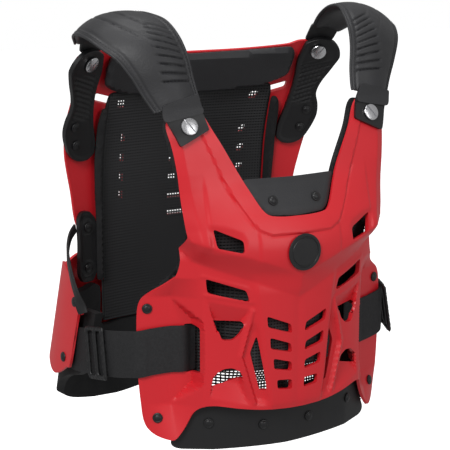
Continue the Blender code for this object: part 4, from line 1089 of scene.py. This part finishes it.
# Pieces at the sides
def link_ribs(x, z, far):
    """Slanted ribs on the shoulder link, inside its raised rim."""
    a = np.abs(x)
    inner = ease(far, 3.5, 5.5)
    slanted = z - 0.35 * (a - 140)
    wave = 0.5 + 0.5 * np.cos(slanted / 5.4 * 2 * math.pi)
    ribbed = ramp(z, 64, 68) * ramp(-z, -120, -114)
    return -0.4 * inner * (1 - ribbed) - 1.6 * inner * ribbed * (1 - wave)


def side_link_shape(x, z, far):
    """Round bosses at both ends of the side link, joined by a raised rim."""
    a = np.abs(x)
    bosses = np.minimum(np.hypot(a - 126, z + 58), np.hypot(a - 126, z + 105))
    return -1.3 * ease(far, 2.5, 4.5) * ease(bosses, 8, 9.5)


def web_path(side):
    """Middle of the waist webbing on one side, as it is fastened there."""
    return np.array(WEB_START + (WEB_RIGHT if side > 0 else WEB_LEFT)) * HUNDRED * (side, 1, 1)


def side_pieces(tag, side):
    pad_rim = on_side(SIDE_PAD_OUTLINE, BACK_SIZE, side, 2.0, 4)
    panel("back_side_padding_" + tag, back, pad_rim, (), PADDING, ("back_side_pad_" + tag,),
                      pitch=4, front=9.9, wall=9, round_front=4.5)
    link_rim = on_side(LINK_OUTLINE, BACK_SIZE, side, 1.6, 3, True)
    panel("shoulder_link_moulded_" + tag, back, link_rim, (), BLACK, ("shoulder_link_" + tag,),
          pitch=1.6, front=6.0, wall=5.5, edge=0.9, shape=link_ribs)
    side_link_rim = on_side(SIDE_LINK_OUTLINE, BACK_SIZE, side, 1.4, 6)
    panel("side_link_moulded_" + tag, back, side_link_rim, (), BLACK, ("side_link_" + tag,),
          pitch=1.8, front=5.5, wall=5, edge=0.8, shape=side_link_shape)
    tab_rim = on_side(FRONT_TAB, CHEST_SIZE, side, 1.6, 2)
    panel("front_strap_tab_cut_" + tag, chest_base, tab_rim, (), BLACK, ("front_strap_tab_" + tag,),
          pitch=4, front=4.4, wall=3, edge=0.5)
    patch_rim = on_side(FRONT_PATCH, CHEST_SIZE, side, 1.6, 2)
    panel("front_strap_patch_" + tag, chest_base, patch_rim, (), COVER, (),
          pitch=3, front=6.4, wall=2, edge=0.7)
    back_tab_rim = on_side(BACK_TAB, BACK_SIZE, side, 1.6, 2)
    panel("back_strap_tab_cut_" + tag, back, back_tab_rim, (), BLACK, ("back_strap_tab_" + tag,),
          pitch=4, front=0, wall=2.5, edge=0.5)
    band("waist_webbing_" + tag, web_path(side), WEBBING, ("waist_strap_" + tag,),
         width=WEBBING_WIDE, thick=WEBBING_THICK, rib=WEBBING_RIB, step=WEBBING_STEP)
    strip_path = np.array(STRIP_PATH) * HUNDRED * (side, 1, 1)
    band("side_strip_rubber_" + tag, strip_path, RUBBER, ("side_strip_" + tag,),
         width=STRIP_WIDE, thick=STRIP_THICK, rib=0, step=STRIP_STEP)


# Screws and rivets: name, surface, distance from the middle, level, lift, and the turn of a screw's slot
SCREWS = (("front_screw", chest_base, 108, 76, 4.9, 0.6), ("back_screw", back, 144, 130, 6.5, -0.7))
RIVETS = (
    ("collar_rivet", chest_base, 25.65, 0.0, -0.1),
    ("flap_rivet_inner", flap_face, 28.05, -239.0, 0.5),
    ("flap_rivet_outer", flap_face, 85.8, -231.9, 0.5),
    ("tab_rivet_upper", chest_base, 139.95, -110.2, 0.6),
    ("tab_rivet_lower", chest_base, 132.0, -225.8, 0.6),
    ("link_rivet_upper", back, 148.96, 58.9, 6.2),
    ("link_rivet_lower", back, 144.96, 38.0, 6.2),
    ("side_link_rivet_upper", back, 126.1, -58.1, 5.8),
    ("side_link_rivet_lower", back, 126.1, -104.1, 5.8),
)
# Rivets of the wings: name, place along the section table, level
WING_RIVETS = (("wing_rivet_upper", 9.77, 0.89), ("wing_rivet_lower", 9.5, 0.17))
WING_RIVET_LIFT = 3.2


def screw(name, tag, at, normal, turn):
    made, axes = spun(name + "_head_" + tag, at, normal, SCREW_PROFILE, STEEL, (name + "_" + tag,),
                      40, turn)
    cut_slot(made, at, axes)


def rivet(name, tag, at, normal):
    spun(name + "_head_" + tag, at, normal, RIVET_PROFILE, BLACK, (name + "_" + tag,), 24)


def wing_place(side, place, level):
    """A point of the wings' outer face and the outward normal there."""
    behind, ahead = (around(WING_SECTION, (place + step) * side, level) for step in (-0.1, 0.1))
    below, above = (around(WING_SECTION, place * side, level + step) for step in (-0.05, 0.05))
    normal = np.cross(ahead - behind, above - below)
    normal *= np.sign(normal[0] * side) / np.linalg.norm(normal)
    return around(WING_SECTION, place * side, level), normal


def fasteners(tag, side):
    for name, surface, across, level, lift, turn in SCREWS:
        screw(name, tag, *facing(surface, across * side, level, lift), turn)
    for name, surface, across, level, lift in RIVETS:
        rivet(name, tag, *facing(surface, across * side, level, lift))
    for name, place, level in WING_RIVETS:
        at, normal = wing_place(side, place, level)
        rivet(name, tag, at + normal * WING_RIVET_LIFT, normal)


def badge():
    at, normal = facing(chest_base, 0, BADGE_LEVEL, BADGE_LIFT)
    spun("badge_disc", at, normal, BADGE_PROFILE, BLACK, ("badge",), 64)


# Shoulder pads
def pad_edges(table, side, u):
    """Inner and outer edge of the pad at u, 0 in front to 1 behind."""
    values = np.stack([curved(table, u, column) for column in range(1, 7)], -1)
    return values[:, :3] * (side, 1, 1), values[:, 3:] * (side, 1, 1)


def pad_frame(side, u, reach=0.01):
    """Middle, half width and outward of the pad at u, and the pad's length."""
    rows = np.array(PAD_STATIONS) * HUNDRED
    run = path_run((rows[:, :3] + rows[:, 3:]) / 2)
    table = np.column_stack([run / run[-1], rows])
    inner, outer = pad_edges(table, side, u)
    before, after = (sum(pad_edges(table, side, np.clip(u + step, 0, 1))) for step in (-reach, reach))
    out = unit(np.cross(unit(after - before), outer - inner) * -side)
    return (inner + outer) / 2, (outer - inner) / 2, out, run[-1]


def pad_arc(u, v, top, fall, middle, start):
    """A curved groove along the pad, highest at its middle."""
    line = top - fall * (u - middle) ** 2
    return bell(v - line, 0.035) * ramp(u, *start) * ramp(-u, -0.95, -0.85)


def pad_grooves(u, v):
    """Depth of the pressed fan, arcs and seams on the pad's outer face."""
    along = u * PAD_LONG
    fan = np.zeros(np.shape(u))
    for k in range(9):
        line = 26 + 8.6 * k + (v + 0.86) * (9.0 + 3.4 * k)
        end = 0.30 - 0.07 * k
        fan += bell(along - line, 1.3) * ramp(v, -0.86, -0.78) * ramp(-v, -end, 0.15 - end)
    arcs = pad_arc(u, v, 0.30, 4.4, 0.62, (0.30, 0.42)) + pad_arc(u, v, -0.18, 3.6, 0.66, (0.40, 0.50))
    seams = bell(np.abs(v) - 0.84, 0.035)
    return GROOVE_DEEP * np.clip(fan, 0, 1) + ARC_DEEP * np.clip(arcs, 0, 1) + SEAM_DEEP * seams


def pad_crown(full, v):
    """Height of the pad's outer face. v runs from -1 at the inner to 1 at the outer edge."""
    return PAD_LIFT + PAD_CROWN * full * (0.5 - v * v)


def shoulder_pad(tag, side):
    u = np.linspace(0.004, 0.996, PAD_ROWS)
    middle, half, out, length = pad_frame(side, u)
    half = half * (1 + PAD_SPREAD / np.linalg.norm(half, axis=1))[:, None]
    full = PAD_END_SHARE + (1 - PAD_END_SHARE) * swelling(np.minimum(u, 1 - u) * length, PAD_END)
    shares = np.linspace(-1, 1, PAD_STEPS)
    ring = []
    for v in shares:
        groove = pad_grooves(u, np.full(PAD_ROWS, v)) * full
        pinch = 0.6 * bell(abs(v) - 1, 0.05)
        ring.append(middle + half * v + out * (pad_crown(full, v) - groove - pinch)[:, None])
    for v in shares[1:-1][::-1]:
        thick = PAD_THICK * full * (1 - 0.65 * v**4) * (1 - abs(v) ** 14)
        ring.append(middle + half * v + out * (pad_crown(full, v) - thick)[:, None])
    points = np.array(ring).transpose(1, 0, 2).reshape(-1, 3)
    mesh("shoulder_padding_" + tag, points, ring_faces(PAD_ROWS, len(ring)), COVER,
                     ("shoulder_pad_" + tag,), 60)
    for name, v in (("inner_", -1), ("outer_", 1)):
        edge = middle + half * v + out * (pad_crown(full, v) - BINDING_DROP)[:, None]
        tube("shoulder_pad_binding_" + name + tag, edge, BINDING_RADIUS, COVER, ())
    rows = [middle + half * v + out * (pad_crown(full, v) + STITCH_LIFT)[:, None]
            for v in (-STITCH_ROW, STITCH_ROW)]
    stitches("shoulder_pad_stitches_" + tag, [(row, out) for row in rows], THREAD)


# Sliders on the webbing
def slider(tag, side, place, lean):
    """A slider with two gaps on the outer face of the webbing, past one of its rows, leaning off its edge."""
    path = web_path(side)
    before, after = path[place], path[place + 1]
    ahead = unit(after - before)
    out = np.array([ahead[1], -ahead[0], 0.0])
    out *= np.sign(out[0] * side) / np.linalg.norm(out)
    centre = (before + after) / 2 + out * (SLIDER_LIFT + lean)
    rise = np.cross(out, ahead)
    rise *= np.sign(rise[2]) / np.linalg.norm(rise)
    rise = unit(rise - out * (2 * lean / WEBBING_WIDE))
    across = np.cross(rise, ahead)
    long, tall = SLIDER_HALF_LONG, SLIDER_HALF_TALL
    rim = loop(box(-long, long, -tall, tall), 1.5, 6)
    starts = (SLIDER_GAP_START, SLIDER_GAP_START + SLIDER_GAP_PITCH)
    gap_long, gap_tall = SLIDER_GAP_END - SLIDER_GAP_START, SLIDER_GAP_HALF_TALL
    gaps = [loop(box(start, start + gap_long, -gap_tall, gap_tall), 1.3, 3) for start in starts]
    flat, faces, loops = flat_net(rim, gaps, 2.0)
    half = SLIDER_EDGE + SLIDER_CROWN * swelling(rim_distance(flat, loops), SLIDER_ROUND)
    base = centre + flat[:, :1] * ahead + flat[:, 1:] * rise
    points = np.vstack([base + across * half[:, None], base - across * half[:, None]])
    mesh("strap_slider_moulded_" + tag, points, wall_faces(faces, len(flat)), BLACK, ("strap_slider_" + tag,),
         60)


front_pieces()
back_pieces()
for tag, side in SIDES:
    side_pieces(tag, side)
    fasteners(tag, side)
badge()
for tag, side in SIDES:
    shoulder_pad(tag, side)
slider("r", 1, 6, 4)
slider("l", -1, 7, 0.5)

for made in made_pieces:
    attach(made, "root")


# Light, floor, surroundings and camera, in metres
def light(name, at, aim, size, power):
    data = bpy.data.lights.new(name, "AREA")
    data.shape = "RECTANGLE"
    data.size, data.size_y = size
    data.energy = power
    lamp = bpy.data.objects.new(name, data)
    lamp.location = at
    lamp.rotation_euler = (Vector(aim) - Vector(at)).to_track_quat("-Z", "Y").to_euler()
    bpy.context.scene.collection.objects.link(lamp)


def make_floor(half=6.0, level=-0.62):
    """A pale floor, which neither tints the object nor shows in its gloss."""
    data = bpy.data.meshes.new("floor")
    corners = [(x, y, level) for x, y in box(-half, half, -half, half)]
    data.from_pydata(corners, [], [(0, 1, 2, 3)])
    data.materials.append(pale_floor())
    floor = bpy.data.objects.new("floor", data)
    bpy.context.scene.collection.objects.link(floor)
    floor.visible_diffuse = False
    floor.visible_glossy = False


def studio(seen_strength=1.0, light_strength=0.36):
    """White surroundings that look brighter to the camera than they light."""
    sky = bpy.data.worlds.new("studio")
    sky.use_nodes = True
    background = sky.node_tree.nodes["Background"]
    put(sky.node_tree, background.inputs["Color"], (1, 1, 1, 1))
    seen = add_node(sky.node_tree, "ShaderNodeLightPath", "Is Camera Ray", {}, {})
    strength = add_node(sky.node_tree, "ShaderNodeMapRange", "Result", {},
                        {"Value": seen, "To Min": light_strength, "To Max": seen_strength})
    put(sky.node_tree, background.inputs["Strength"], strength)
    bpy.context.scene.world = sky
    bpy.context.scene.view_settings.view_transform = "Standard"


def make_camera(at, azimuth, elevation, lens):
    """The camera at the photograph's angle, which looks at the object from the azimuth and elevation."""
    data = bpy.data.cameras.new("camera")
    data.lens = lens
    data.sensor_width = 36
    data.clip_start, data.clip_end = 0.05, 60
    camera = bpy.data.objects.new("camera", data)
    bpy.context.scene.collection.objects.link(camera)
    turn, rise = math.radians(azimuth), math.radians(elevation)
    towards = Vector((math.sin(turn) * math.cos(rise), -math.cos(turn) * math.cos(rise), math.sin(rise)))
    camera.location = at
    camera.rotation_euler = (-towards).to_track_quat("-Z", "Y").to_euler()
    bpy.context.scene.camera = camera


light("key", at=(-1.7, -1.3, 1.3), aim=(0, 0, -0.15), size=(0.8, 1.0), power=34)
light("fill", at=(0.7, -2.2, 0.5), aim=(0, 0, -0.2), size=(0.8, 1.2), power=8)
light("top", at=(-0.1, 0.2, 1.9), aim=(0, 0, 0), size=(1.2, 1.0), power=14)
make_floor()
studio()
make_camera(at=(-0.852, -1.438, 0.133), azimuth=-30, elevation=11.64, lens=127.04)
